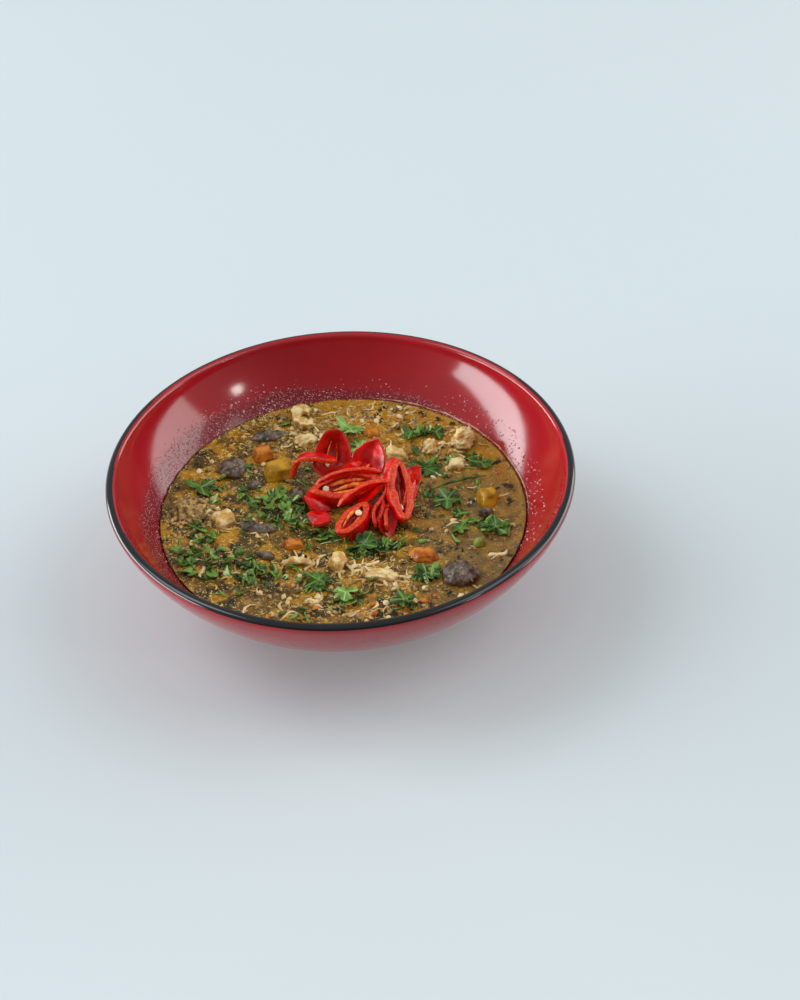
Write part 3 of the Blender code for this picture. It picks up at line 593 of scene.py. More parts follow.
green = coriander("fresh coriander leaf", "#17330a", "#4c7a1f", "#7ba03c")
pale_green = coriander("pale young coriander leaf", "#5a8a2c", "#98bd5c", "#bdd488")
leaves = {
    "leaf_bright_back": (12.0, 10.0, 96, 16, 10, 3, 0.9, pale_green),
    "leaf_pale_back": (9.0, 6.0, 15, 10, 0, 3, 0.6, pale_green),
    "leaf_back_right": (9.0, 8.0, 70, 8, 4, 3, 0.6, green),
    "leaf_upper_right": (7.5, 7.0, 110, 8, -4, 3, 0.6, green),
    "leaf_by_ring": (14.0, 8.0, 12, 12, 6, 3, 0.9, green),
    "leaf_by_cube": (9.5, 6.0, -16, 6, 0, 3, 0.5, green),
    "leaf_fan_right": (10.5, 10.0, -60, 8, 6, 5, 0.5, green),
    "leaf_under_fan": (5.4, 5.0, -70, 0, 0, 3, 0.3, green),
    "leaf_right": (12.0, 7.5, -24, 8, 0, 5, 0.6, green),
    "leaf_middle_right": (7.0, 6.0, 170, 4, 4, 5, 0.4, green),
    "leaf_front_left": (11.0, 8.5, 30, 10, 4, 5, 0.8, green),
    "leaf_front_centre": (9.0, 8.0, 200, 10, -6, 3, 0.8, pale_green),
    "leaf_near_rim": (9.0, 9.0, 80, 8, 4, 5, 0.6, green),
    "leaf_far_left": (13.0, 7.0, -28, 6, 4, 3, 0.6, green),
    "leaf_long_front": (15.0, 6.5, 14, 6, 0, 3, 0.8, green),
    "leaf_by_mushroom": (8.0, 8.0, 40, 8, -6, 3, 0.7, green),
}
for index, (name, (length, width, turn, tilt, roll, lobes, curl, look)) in enumerate(leaves.items()):
    spots, veins = leaf_rows(length * 1.12, width * 1.2, lobes, index + 1, curl)
    turned = Euler((math.radians(tilt), math.radians(roll), math.radians(turn))).to_matrix()
    spots = [turned @ spot for spot in spots]
    low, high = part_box(name)
    middle = (Vector(low) + Vector(high)) * 0.5 / MM
    lift = SOUP_LEVEL + 0.35 - min(spot.z for spot in spots)
    spots = [spot + Vector((middle.x, middle.y, lift)) for spot in spots]
    made = add_piece("blade_" + name, leaf_mesh(name, spots, veins), look, name)


# Chilli: long red chillies cut on a slant into hollow slices, piled in the middle. The
# skin is glossy, the cut wall orange, and seeds cling to ribs inside.
RING_STEPS = 72
SECTION_STEPS = 16
CHILLI_TIP = 3.4


def keep_sign(value, power):
    return math.copysign(abs(value) ** power, value)


def swept_mesh(name, rows, closed, marks):
    count = len(rows[0])
    faces = []
    for row in range(len(rows) if closed else len(rows) - 1):
        after = (row + 1) % len(rows)
        for step in range(count):
            beside = (step + 1) % count
            faces.append((row * count + step, after * count + step, after * count + beside, row * count + beside))
    if not closed:
        faces.append(tuple(range(count)))
        faces.append(tuple(range((len(rows) - 1) * count, len(rows) * count))[::-1])
    mesh = bpy.data.meshes.new(name)
    mesh.from_pydata([tuple(spot * MM) for row in rows for spot in row], [], faces)
    layer = mesh.attributes.new("mark", "FLOAT", "POINT")
    layer.data.foreach_set("value", [mark for _ in rows for mark in marks])
    form = bmesh.new()
    form.from_mesh(mesh)
    bmesh.ops.recalc_face_normals(form, faces=form.faces[:])
    form.to_mesh(mesh)
    form.free()
    return mesh


# section points: u runs from the skin (0) through the wall to the inside (1)
section = []
for step in range(SECTION_STEPS):
    turn = math.tau * (step + 0.5) / SECTION_STEPS
    section.append((0.5 - 0.5 * keep_sign(math.cos(turn), 0.42), keep_sign(math.sin(turn), 0.42)))
section_marks = [1.0 if abs(v) > 0.9 and 0.04 < u < 0.9 else (0.0 if u < 0.5 else 0.45) for u, v in section]


def ring_rows(start, end, up, width, depth, slide, wall, bow=0.6, seed=1):
    start = Vector(start)
    end = Vector(end)
    along = (end - start).normalized()
    across = Vector(up).cross(along).normalized()
    turned = Matrix((along, across, along.cross(across))).transposed()
    middle = (start + end) * 0.5 + Vector((0.0, 0.0, SOUP_LEVEL))
    length = (end - start).length - abs(slide)
    rows = []
    for step in range(RING_STEPS):
        turn = math.tau * step / RING_STEPS
        row = []
        for u, v in section:
            x = math.cos(turn) * (length / 2 - u * CHILLI_TIP) + slide / 2 * v
            y = keep_sign(math.sin(turn), 1.3) * (width / 2 - u * wall)
            z = bow * math.cos(turn) ** 2 + depth / 2 * v
            spot = Vector((x, y, z))
            wave = noise.noise_vector(spot / 4.2 + Vector((seed * 5.0, 0.0, 0.0)))
            row.append(turned @ (spot + wave * 0.7) + middle)
        rows.append(row)
    return rows


# chilli: waxy skin with sharp highlights, wet orange flesh where it is cut
chilli, tree, shader = finish_of("fresh red chilli", "#c80d0c", 0.16, IOR=1.46, Subsurface_Weight=0.06)
place = node(tree, "ShaderNodeTexCoord").outputs["Object"]
mark = node(tree, "ShaderNodeAttribute", {"attribute_name": "mark"}).outputs["Fac"]
patchy = node(tree, "ShaderNodeTexNoise", None, {"Scale": 240.0, "Detail": 3.0}, {"Vector": place}).outputs["Fac"]
fine = node(tree, "ShaderNodeTexNoise", None, {"Scale": 1200.0, "Detail": 3.0}, {"Vector": place}).outputs["Fac"]
skin = blend_colours(tree, "#a40406", "#e30c06", ramp(tree, patchy, 0.34, 0.6))
inner = blend_colours(tree, "#960604", "#c81c0a", ramp(tree, fine, 0.35, 0.7))
flesh = blend_colours(tree, "#cc1c04", "#f05a12", ramp(tree, fine, 0.4, 0.7))
colour = blend_colours(tree, skin, inner, ramp(tree, mark, 0.15, 0.42))
colour = blend_colours(tree, colour, flesh, ramp(tree, mark, 0.5, 0.85))
tree.links.new(colour, shader.inputs["Base Color"])
gloss = node(tree, "ShaderNodeMapRange", None, {2: 0.4, 3: 0.13, 4: 0.42}, {0: mark})
tree.links.new(gloss.outputs[0], shader.inputs["Roughness"])
relief(tree, shader, fine, 0.1)
rings = {
    "chilli_front_ring": ((-3.0, -19.2, 3.4), (10.8, -3.4, 6.4), (-0.25, -0.35, 0.9), 8.4, 5.6, -3.0, 2.4),
    "chilli_wide_ring": ((-15.2, 4.2, 4.4), (15.0, 7.2, 6.2), (0.0, -0.3, 0.95), 11.0, 6.4, 4.0, 2.4),
    "chilli_tall_slice": ((-3.8, 15.0, 4.4), (-1.6, 26.6, 14.3), (0.1, -0.7, 0.7), 13.4, 5.2, 4.0, 2.4),
    "chilli_right_ring": ((20.8, -14.6, 3.8), (19.4, 12.4, 12.6), (0.3, -0.35, 0.9), 9.8, 6.6, -2.0, 3.3),
}
for index, (name, sizes) in enumerate(rings.items()):
    if name != "chilli_tall_slice":
        mesh = swept_mesh(name, ring_rows(*sizes, seed=index), True, section_marks)
        add_piece("slice_" + name, mesh, chilli, name)


def smooth_route(spots, count):
    spots = [Vector(spot) for spot in spots]
    spots = [spots[0] * 2 - spots[1]] + spots + [spots[-1] * 2 - spots[-2]]
    made = []
    for index in range(count):
        share = index / (count - 1) * (len(spots) - 3)
        first = min(int(share), len(spots) - 4)
        t = share - first
        a, b, c, d = spots[first:first + 4]
        made.append(0.5 * (2 * b + (c - a) * t + (2 * a - 5 * b + 4 * c - d) * t * t + (3 * b - a - 3 * c + d) * t ** 3))
    return made


# bands: a slice's wall seen along its edge, bent along a row of spots
def band_rows(at, spots, wall, depth, angles, taper, seed=0):
    route = smooth_route(spots, 40)
    turned = Euler(tuple(math.radians(part) for part in angles)).to_matrix()
    base = Vector((at[0], at[1], SOUP_LEVEL + at[2]))
    rows = []
    for index, spot in enumerate(route):
        ahead = route[min(index + 1, 39)] - route[max(index - 1, 0)]
        side = Vector((ahead.y, -ahead.x, 0.0)).normalized()
        share = index / 19.5 - 1.0
        slim = 1.0 - taper * share * share
        end = min(1.0, 6.0 * (1.0 - abs(share)) + 0.25)
        row = []
        for u, v in section:
            wave = noise.noise_vector(spot / 2.6 + Vector((seed * 3.0, v, 0.0))) * 0.25
            off = side * (0.5 - u) * wall * end + Vector((0.0, 0.0, v * depth * 0.5 * slim * end))
            row.append(turned @ (spot + off + wave) + base)
        rows.append(row)
    return rows


bands = {
    "chilli_strip": (
        (7.6, -3.8, 11.4),
        ((-10.5, -0.6, 0.2), (-6.5, 0.5, 0.9), (-2.0, 1.0, 1.2), (2.5, 0.8, 1.2), (6.5, 0.1, 0.8), (10.5, -1.2, 0.0)),
        2.0, 2.6, (0, -13, 20), 0.7,
    ),
    "chilli_arch": (
        (-8.8, 15.2, 10.8),
        ((8.0, 1.6, 0.0), (4.0, 2.2, 0.2), (0.0, 2.4, 0.3), (-4.0, 1.9, 0.1), (-6.8, -0.2, 0.0), (-8.2, -4.2, 0.0),
         (-8.8, -7.6, 0.0)),
        2.0, 5.6, (74, 0, -18), 0.4,
    ),
    "chilli_mid_wall": (
        (11.57, -8.7, 4.4),
        ((-5.4, -1.4, 0.0), (-2.8, -0.2, 0.0), (0.0, 0.6, 0.0), (2.8, 0.6, 0.0), (5.6, -0.2, 0.0)),
        1.6, 6.0, (0, -14, 68), 0.5,
    ),
    "top edge": (
        (1.0, 7.8, 9.4), ((-11.0, -1.0, -0.6), (-5.0, 0.6, 0.6), (2.0, 0.8, 1.2), (9.0, 0.4, 1.0), (14.0, -1.0, 0.2)),
        1.6, 3.4, (14, -4, 4), 0.6,
    ),
    "right bulge": (
        (22.6, 0.6, 8.0), ((-9.0, 0.8, 0.0), (-4.0, -0.8, 0.0), (2.0, -1.2, 0.0), (9.0, 0.6, 0.0)),
        1.8, 6.4, (0, -14, 84), 0.55,
    ),
    "inner edge": (
        (14.6, -2.6, 7.2), ((-8.0, 1.0, 0.0), (-2.0, -0.4, 0.0), (4.0, -0.4, 0.0), (9.0, 1.0, 0.0)),
        1.5, 5.0, (0, -20, 58), 0.5,
    ),
    "low edge": (
        (6.4, -12.6, 3.2), ((-7.0, 0.4, 0.0), (-1.0, -0.8, 0.2), (6.0, 0.2, 0.4)),
        1.5, 4.2, (0, -8, 46), 0.5,
    ),
    "outer edge": (
        (15.8, -9.0, 4.6), ((-7.0, -0.8, 0.0), (-1.0, 0.5, 0.0), (6.0, -0.4, 0.0)),
        1.6, 6.4, (0, -12, 76), 0.5,
    ),
    "tail": (
        (23.2, 4.6, 6.6), ((-7.0, 0.4, 0.0), (0.0, -0.8, 0.0), (7.0, 0.6, 0.0)),
        1.5, 4.6, (0, -10, 66), 0.6,
    ),
}
for index, (name, sizes) in enumerate(bands.items()):
    mesh = swept_mesh(name, band_rows(*sizes, index), False, section_marks)
    made = add_piece("slice_" + name.replace(" ", "_"), mesh, chilli, *([name] if name in frame["nodes"] else []))

# dishes: walls with an upper face, a cut edge and a lower face. They make the pointed
# ends of slices, and the far inner wall that closes each ring from below
DISH_STEPS = 56
DISH_RINGS = 12


def dish_mesh(name, place, outline, hollow, wall, face_mark, edge_mark):
    rows = []
    marks = []
    layers = [(share / DISH_RINGS, wall, face_mark) for share in range(1, DISH_RINGS + 1)]
    layers += [(1.0, wall * 0.72, edge_mark), (1.0, wall * 0.28, edge_mark)]
    layers += [(share / DISH_RINGS, 0.0, 0.0) for share in range(DISH_RINGS, 0, -1)]
    for share, rise, mark in layers:
        row = []
        for step in range(DISH_STEPS):
            turn = math.tau * step / DISH_STEPS
            x, y = outline(turn)
            spot = Vector((x * share, y * share, hollow(share, turn) + rise))
            wave = noise.noise_vector(spot / 3.0 + Vector((len(name), 0.0, 0.0))) * 0.35
            row.append(place @ (spot + wave))
        rows.append(row)
        marks.append(mark)
    mesh = swept_mesh(name, rows, False, [0.0] * DISH_STEPS)
    values = [mark for mark in marks for _ in range(DISH_STEPS)]
    mesh.attributes["mark"].data.foreach_set("value", values)
    return mesh


def ring_frame(start, end, up, width, depth, slide, wall):
    along = (Vector(end) - Vector(start)).normalized()
    across = Vector(up).cross(along).normalized()
    turned = Matrix((along, across, along.cross(across))).transposed()
    middle = (Vector(start) + Vector(end)) * 0.5 + Vector((0.0, 0.0, SOUP_LEVEL))
    return Matrix.Translation(middle) @ turned.to_4x4()


boats = {
    "chilli_leaf_slice": ((11.0, 15.7, 9.6), 17.6, 12.6, 1.8, (52, 10, -30)),
    "chilli_side_wing": ((24.8, 10.0, 4.6), 11.5, 7.4, 1.2, (24, 28, -30)),
    "chilli_under_slice": ((-8.6, -6.8, 3.0), 9.5, 7.5, -1.0, (0, 0, 62)),
    "middle slice": ((12.0, 2.6, 5.6), 16.0, 8.0, 1.6, (30, -10, -62)),
    "back slice": ((3.0, 11.6, 6.4), 15.0, 8.0, 1.4, (44, 0, -84)),
    "right back slice": ((22.8, 2.0, 6.4), 17.0, 6.5, 1.6, (12, 64, -6)),
    "inner front slice": ((13.6, -7.6, 5.2), 12.0, 6.4, 1.2, (16, -44, -24)),
    "low front slice": ((3.8, -7.4, 3.0), 11.0, 6.0, 1.0, (30, 10, -70)),
    "low right slice": ((14.8, -11.0, 3.0), 12.0, 7.0, 1.2, (50, 8, 14)),
    "cap slice": ((19.4, 7.6, 10.6), 11.0, 8.6, -1.6, (26, -8, 8)),
    "low left slice": ((-9.0, 1.0, 3.4), 11.0, 7.0, -1.2, (30, -12, 70)),
}
for name, (at, length, width, curl, angles) in boats.items():
    turned = Euler(tuple(math.radians(part) for part in angles)).to_matrix().to_4x4()
    place = Matrix.Translation(Vector((at[0], at[1], SOUP_LEVEL + at[2]))) @ turned

    def boat_outline(turn):
        half = (1.0 - abs(math.sin(turn)) ** 1.7) ** 0.85
        return math.copysign(half, math.cos(turn)) * width / 2, math.sin(turn) * length / 2

    def boat_hollow(share, turn):
        half = (1.0 - abs(math.sin(turn)) ** 1.7) ** 0.85
        return curl * share * share * (half * half + 0.6 * math.sin(turn) ** 2)

    mesh = dish_mesh(name, place, boat_outline, boat_hollow, 1.4, 0.1, 1.0)
    made = add_piece("slice_" + name.replace(" ", "_"), mesh, chilli, *([name] if name in frame["nodes"] else []))

for name, sizes in rings.items():
    start, end, up, width, depth, slide, wall = sizes
    length = (Vector(end) - Vector(start)).length
    whole = name == "chilli_tall_slice"
    inset = 0.0 if whole else 1.7 + abs(slide) / 2

    def core_outline(turn):
        if whole:
            return keep_sign(math.cos(turn), 0.75) * length * 0.58, keep_sign(math.sin(turn), 0.8) * width * (0.5 - 0.17 * math.cos(turn))
        return math.cos(turn) * (length / 2 - inset), keep_sign(math.sin(turn), 1.5) * (width / 2 - inset * 0.5)

    def core_hollow(share, turn):
        return depth * (1.15 * share * share - 0.55) if whole else depth * (0.5 * share ** 3 - 0.24)

    mesh = dish_mesh("core of " + name, ring_frame(*sizes), core_outline, core_hollow, 1.5 if whole else 0.7, 0.3, 1.0 if whole else 0.3)
    made = add_piece("inner_wall_" + name, mesh, chilli, *([name] if whole else []))

# ribs and seeds inside the slices: soft orange strands, and flat cream discs 2.6 mm wide
rib_look, tree, shader = finish_of("chilli rib flesh", "#e8641c", 0.3, IOR=1.42)
place = node(tree, "ShaderNodeTexCoord").outputs["Object"]
patchy = node(tree, "ShaderNodeTexNoise", None, {"Scale": 600.0, "Detail": 2.0}, {"Vector": place}).outputs["Fac"]
tree.links.new(blend_colours(tree, "#e04808", "#ff9c4a", ramp(tree, patchy, 0.35, 0.65)), shader.inputs["Base Color"])
seed_look, tree, shader = finish_of("chilli seed", "#f3dcb4", 0.4, IOR=1.42)
place = node(tree, "ShaderNodeTexCoord").outputs["Object"]
patchy = node(tree, "ShaderNodeTexNoise", None, {"Scale": 900.0, "Detail": 2.0}, {"Vector": place}).outputs["Fac"]
tree.links.new(blend_colours(tree, "#e6c896", "#fbeed2", patchy), shader.inputs["Base Color"])


def strand_rows(place, spots, thick):
    route = [place @ spot for spot in smooth_route(spots, 14)]
    rows = []
    for index, spot in enumerate(route):
        share = abs(index / 6.5 - 1.0)
        wide = thick * (1.0 - 0.7 * share * share)
        row = []
        for step in range(8):
            turn = math.tau * step / 8
            row.append(spot + Vector((0.0, math.cos(turn) * wide, math.sin(turn) * wide * 0.8)))
        rows.append(row)
    return rows


ribs = {
    "chilli_wide_ring": (
        ((-9.0, -1.6, 0.4), (-2.0, -2.6, 1.5), (6.0, -2.2, 1.9)), ((-7.0, 1.8, 0.0), (1.0, 2.6, 1.2), (9.0, 1.6, 1.8)),
        ((-3.0, -0.2, 0.4), (4.0, 0.4, 1.2), (11.0, -0.4, 1.6)),
    ),
    "chilli_right_ring": (
        ((-10.0, 0.4, 2.0), (-2.0, 0.8, 3.0), (8.0, 0.4, 2.8)), ((-12.0, -0.8, 1.2), (-6.0, -1.2, 2.2), (0.0, -0.9, 2.2)),
    ),
    "chilli_front_ring": (((-6.0, 1.0, 1.4), (0.0, 1.6, 2.4), (6.0, 0.8, 2.2)), ((-4.0, -1.2, 0.8), (1.0, -1.4, 1.4), (6.0, -0.8, 1.6))),
    "chilli_tall_slice": (((-4.0, 1.4, -0.4), (0.0, 1.9, 0.2), (5.0, 0.9, 0.8)), ((-4.0, -1.4, -0.4), (1.0, -1.7, 0.4), (5.0, -0.8, 0.8))),
}
for name, strands in ribs.items():
    place = ring_frame(*rings[name])
    for index, spots in enumerate(strands):
        mesh = swept_mesh("rib", strand_rows(place, spots, 1.05), False, [0.0] * 8)
        add_piece("rib_%s_%d" % (name, index), mesh, rib_look)


def seed_mesh(place, spot, turn):
    form = bmesh.new()
    bmesh.ops.create_uvsphere(form, u_segments=20, v_segments=10, radius=1.0)
    lay = place @ Matrix.Translation(Vector(spot)) @ Euler(turn).to_matrix().to_4x4()
    for vert in form.verts:
        x, y, z = vert.co
        dip = 1.0 - 0.12 * math.exp(-((x - 1.0) ** 2 + y * y) / 0.12)
        flat = 0.42 * z * (1.0 - 0.35 * math.exp(-(x * x + y * y) / 0.3))
        vert.co = (lay @ (Vector((x * dip, y * 0.92, flat)) * 1.3)) * MM
    mesh = bpy.data.meshes.new("seed")
    form.to_mesh(mesh)
    form.free()
    return mesh


seeds = (
    ("chilli_wide_ring", (-5.6, 0.2, 1.8), (0.5, 0.2, 0.0)),
    ("chilli_front_ring", (1.6, -0.8, 3.2), (0.4, 0.1, 0.0)),
    ("chilli_right_ring", (-7.6, 0.2, 1.8), (0.9, 0.3, 0.0)),
    ("chilli_tall_slice", (-3.4, 1.6, 0.2), (0.7, 0.3, 0.0)),
)
for index, (name, spot, turn) in enumerate(seeds):
    made = add_piece("chilli_seed_%d" % index, seed_mesh(ring_frame(*rings[name]), spot, turn), seed_look)
leaf_place = Matrix.Translation((11.0, 15.7, SOUP_LEVEL + 9.6)) @ Euler((math.radians(52), math.radians(10), math.radians(-30))).to_matrix().to_4x4()
leaf_rib = strand_rows(leaf_place, ((-1.6, -6.2, 2.4), (-0.4, -4.0, 2.3), (0.8, -1.0, 2.0)), 1.2)
add_piece("rib_leaf_slice", swept_mesh("rib", leaf_rib, False, [0.0] * 8), rib_look)


# Chopped pieces strewn over the soup: coriander blades and stalks, shreds of chicken,
# crumbs of meat and bits of carrot. They lie in drifts where a hand let them fall.
def strewing_tree():
    tree = bpy.data.node_groups.new("strewn pieces", "GeometryNodeTree")
    sockets = (
        ("Places", "NodeSocketGeometry"), ("Kinds", "NodeSocketCollection"), ("Smallest", "NodeSocketFloat"),
        ("Largest", "NodeSocketFloat"), ("Tilt", "NodeSocketFloat"), ("Seed", "NodeSocketInt"),
        ("Finish", "NodeSocketMaterial"),
    )
    for name, kind in sockets:
        tree.interface.new_socket(name, in_out="INPUT", socket_type=kind)
    tree.interface.new_socket("Pieces", in_out="OUTPUT", socket_type="NodeSocketGeometry")
    given = node(tree, "NodeGroupInput").outputs
    kinds = node(tree, "GeometryNodeCollectionInfo", None, {1: True, 2: True}, {0: given["Kinds"]})
    size = node(tree, "FunctionNodeRandomValue", None, None, {2: given["Smallest"], 3: given["Largest"], 8: given["Seed"]})
    back = node(tree, "ShaderNodeMath", {"operation": "MULTIPLY"}, {1: -1.0}, {0: given["Tilt"]})
    lowest = node(tree, "ShaderNodeCombineXYZ", None, {2: 0.0}, {0: back.outputs[0], 1: back.outputs[0]})
    highest = node(tree, "ShaderNodeCombineXYZ", None, {2: math.tau}, {0: given["Tilt"], 1: given["Tilt"]})
    turn = node(tree, "FunctionNodeRandomValue", {"data_type": "FLOAT_VECTOR"}, None, {0: lowest.outputs[0], 1: highest.outputs[0], 8: given["Seed"]})
    lying = node(
        tree, "GeometryNodeInstanceOnPoints", None, {"Pick Instance": True},
        {"Points": given["Places"], "Instance": kinds.outputs[0], "Rotation": turn.outputs[0], "Scale": size.outputs[1]},
    )
    tint = node(tree, "FunctionNodeRandomValue", None, {2: 0.0, 3: 1.0}, {8: given["Seed"]})
    tinted = node(tree, "GeometryNodeStoreNamedAttribute", {"domain": "INSTANCE"}, {"Name": "tint"}, {"Geometry": lying.outputs[0], "Value": tint.outputs[1]})
    real = node(tree, "GeometryNodeRealizeInstances", None, None, {0: tinted.outputs[0]})
    dressed = node(tree, "GeometryNodeSetMaterial", None, None, {"Geometry": real.outputs[0], "Material": given["Finish"]})
    node(tree, "NodeGroupOutput", None, None, {0: dressed.outputs[0]})
    return tree


strewing = strewing_tree()


def strew(name, places, kinds, smallest, largest, tilt, seed, look, *nodes):
    held = bpy.data.collections.new(name + " kinds")
    for index, mesh in enumerate(kinds):
        held.objects.link(bpy.data.objects.new("%s %d" % (name, index), mesh))
    points = bpy.data.meshes.new(name)
    points.from_pydata([tuple(spot * MM) for spot in places], [], [])
    raw = bpy.data.objects.new(name, points)
    scene.collection.objects.link(raw)
    spread = raw.modifiers.new("strewn", "NODES")
    spread.node_group = strewing
    keys = {item.name: item.identifier for item in strewing.interface.items_tree if item.in_out == "INPUT"}
    given = {"Kinds": held, "Smallest": smallest, "Largest": largest, "Tilt": tilt, "Seed": seed, "Finish": look}
    for key, value in given.items():
        spread[keys[key]] = value
    ready = raw.evaluated_get(bpy.context.evaluated_depsgraph_get())
    mesh = bpy.data.meshes.new_from_object(ready)
    bpy.data.objects.remove(raw, do_unlink=True)
    for kind in list(held.objects):
        bpy.data.objects.remove(kind, do_unlink=True)
    bpy.data.collections.remove(held)
    return add_piece(name, mesh, look, *nodes)


def drift_places(drifts, seed, sink=0.0):
    draw = random.Random(seed)
    places = []
    for x, y, long, wide, turn, count, heap in drifts:
        lay = math.radians(turn)
        for _ in range(count):
            out = math.sqrt(draw.random())
            way = draw.uniform(0.0, math.tau)
            a, b = out * math.cos(way), out * math.sin(way)
            u = x + a * long * math.cos(lay) - b * wide * math.sin(lay)
            v = y + a * long * math.sin(lay) + b * wide * math.cos(lay)
            if math.hypot(u, v) < SOUP_EDGE - 1.6:
                rise = heap * (1.0 - out * out) * draw.random()
                places.append(Vector((u, v, soup_height(u, v) + rise - sink)))
    return places


def bit_mesh(points, narrow, curl, seed, thick=0.12):
    draw = random.Random(seed)
    form = bmesh.new()
    bmesh.ops.create_circle(form, cap_ends=True, cap_tris=True, segments=points, radius=1.0)
    for vert in form.verts:
        turn = math.atan2(vert.co.y, vert.co.x)
        lobed = 0.8 + 0.18 * math.cos(3.0 * turn + seed) + draw.uniform(-0.22, 0.2)
        reach = lobed if vert.co.length > 0.5 else 1.0
        x, y = vert.co.x * reach * 0.5, vert.co.y * reach * 0.5 * narrow
        vert.co = Vector((x, y, curl * x * x + 0.35 * abs(y) + draw.uniform(-0.05, 0.05))) * MM
    bmesh.ops.recalc_face_normals(form, faces=form.faces[:])
    bmesh.ops.solidify(form, geom=form.faces[:], thickness=thick * 0.4 * MM)
    mesh = bpy.data.meshes.new("bit")
    form.to_mesh(mesh)
    form.free()
    return mesh


def shred_mesh(bend, twist, wide, seed):
    draw = random.Random(seed)
    rows = []
    for index in range(7):
        share = index / 3.0 - 1.0
        half = wide * (1.0 - 0.65 * share * share) * draw.uniform(0.75, 1.2)
        middle = Vector((share * 0.5, bend * share * share + twist * math.sin(2.4 * share), draw.uniform(-0.02, 0.03)))
        rows.append([middle + Vector((0.0, half * math.cos(turn), half * 0.7 * math.sin(turn))) for turn in (0.4, 1.7, 2.9, 4.2, 5.4)])
    return swept_mesh("shred", rows, False, [0.0] * 5)


def crumb_mesh(seed):
    form = bmesh.new()
    bmesh.ops.create_icosphere(form, subdivisions=2, radius=0.5)
    for vert in form.verts:
        push = 1.0 + 0.7 * noise.noise(vert.co * 2.6 + Vector((seed * 4.0, 0.0, 0.0)))
        vert.co = Vector((vert.co.x * push, vert.co.y * push * 0.8, vert.co.z * push * 0.6)) * MM
    mesh = bpy.data.meshes.new("crumb")
    form.to_mesh(mesh)
    form.free()
    return mesh


# chopped coriander: blades cut to 2 to 6 mm, in drifts of x, y, reach, width, turn, count and height
herb_drifts = (
    (-24.0, 3.0, 12.5, 9.0, 40, 78, 2.4), (-15.5, -5.0, 6.0, 4.5, 0, 18, 1.6), (-33.0, 14.0, 5.0, 3.5, 20, 13, 0.8),
    (-43.0, -25.0, 17.0, 9.0, -24, 70, 2.0), (-30.0, -31.0, 10.0, 5.0, -10, 26, 1.2), (-50.0, -7.0, 4.0, 7.0, 10, 22, 1.2),
    (-55.0, -15.0, 6.0, 6.0, 0, 12, 0.8), (8.0, -22.6, 11.0, 3.5, 14, 36, 1.2), (-1.5, -14.0, 3.0, 5.0, 0, 10, 1.0),
    (29.0, 20.5, 8.0, 3.0, 12, 22, 1.2), (45.0, 25.5, 8.0, 2.6, 14, 15, 0.8), (30.0, 42.0, 7.0, 3.0, 0, 15, 0.9),
    (52.0, -13.5, 8.0, 3.6, -20, 20, 0.7), (27.5, -37.0, 5.0, 4.0, 10, 20, 1.2), (-9.0, -38.5, 7.0, 3.4, 20, 13, 0.9),
    (0.0, -46.5, 6.0, 4.0, 0, 15, 0.9), (-14.0, -52.0, 10.0, 4.0, 0, 9, 0.5), (18.5, -50.0, 4.5, 4.0, 0, 8, 0.5),
    (-38.0, 30.0, 5.0, 4.0, 0, 8, 1.6), (5.0, 36.0, 6.0, 8.0, 0, 9, 0.6), (-22.0, 48.0, 10.0, 5.0, 0, 7, 0.4),
    (0.0, 0.0, 64.0, 64.0, 0, 70, 0.0), (-30.0, -8.0, 30.0, 34.0, 0, 36, 0.1), (40.0, 5.0, 14.0, 30.0, 0, 20, 0.0),
    (-8.0, -13.0, 6.0, 3.0, -20, 18, 0.8), (18.0, -20.0, 10.0, 2.6, 10, 16, 0.8),
)
bits = [
    bit_mesh(14, 0.6, 0.5, 1), bit_mesh(13, 0.36, -0.5, 2), bit_mesh(15, 0.8, 0.7, 3), bit_mesh(10, 0.22, 0.4, 4),
    bit_mesh(14, 0.5, -0.8, 5), bit_mesh(11, 0.3, 0.8, 6),
]
herbs = strew("chopped_coriander", drift_places(herb_drifts, 5, -0.3), bits, 1.8, 6.0, 0.8, 3, green, "herb_heap_middle", "herb_heap_left")
pale_drifts = tuple((x, y, long, wide, turn, count // 6, heap + 0.3) for x, y, long, wide, turn, count, heap in herb_drifts)
pale_herbs = strew("pale_chopped_coriander", drift_places(pale_drifts, 6, -0.4), bits, 2.0, 5.0, 0.8, 8, pale_green)

# cut stalks, 3 to 8 mm long
stalks = [shred_mesh(0.06, 0.05, 0.055, 21), shred_mesh(-0.1, 0.08, 0.05, 22), shred_mesh(0.02, 0.02, 0.065, 23)]
stalk_drifts = tuple((x, y, long, wide, turn, count // 9, heap + 0.2) for x, y, long, wide, turn, count, heap in herb_drifts)
stalk_bits = strew("coriander_stalk_bits", drift_places(stalk_drifts, 7, -0.2), stalks, 3.0, 8.0, 0.2, 4, pale_green)
long_stalk = strand_rows(Matrix.Identity(4), ((33.0, 7.6, 32.9), (38.0, 9.6, 33.3), (43.0, 11.1, 33.4), (48.0, 12.4, 33.3), (53.0, 13.2, 32.9)), 0.62)
stalk = add_piece("long_coriander_stalk", swept_mesh("stalk", long_stalk, False, [0.0] * 8), green, "coriander_stalk")

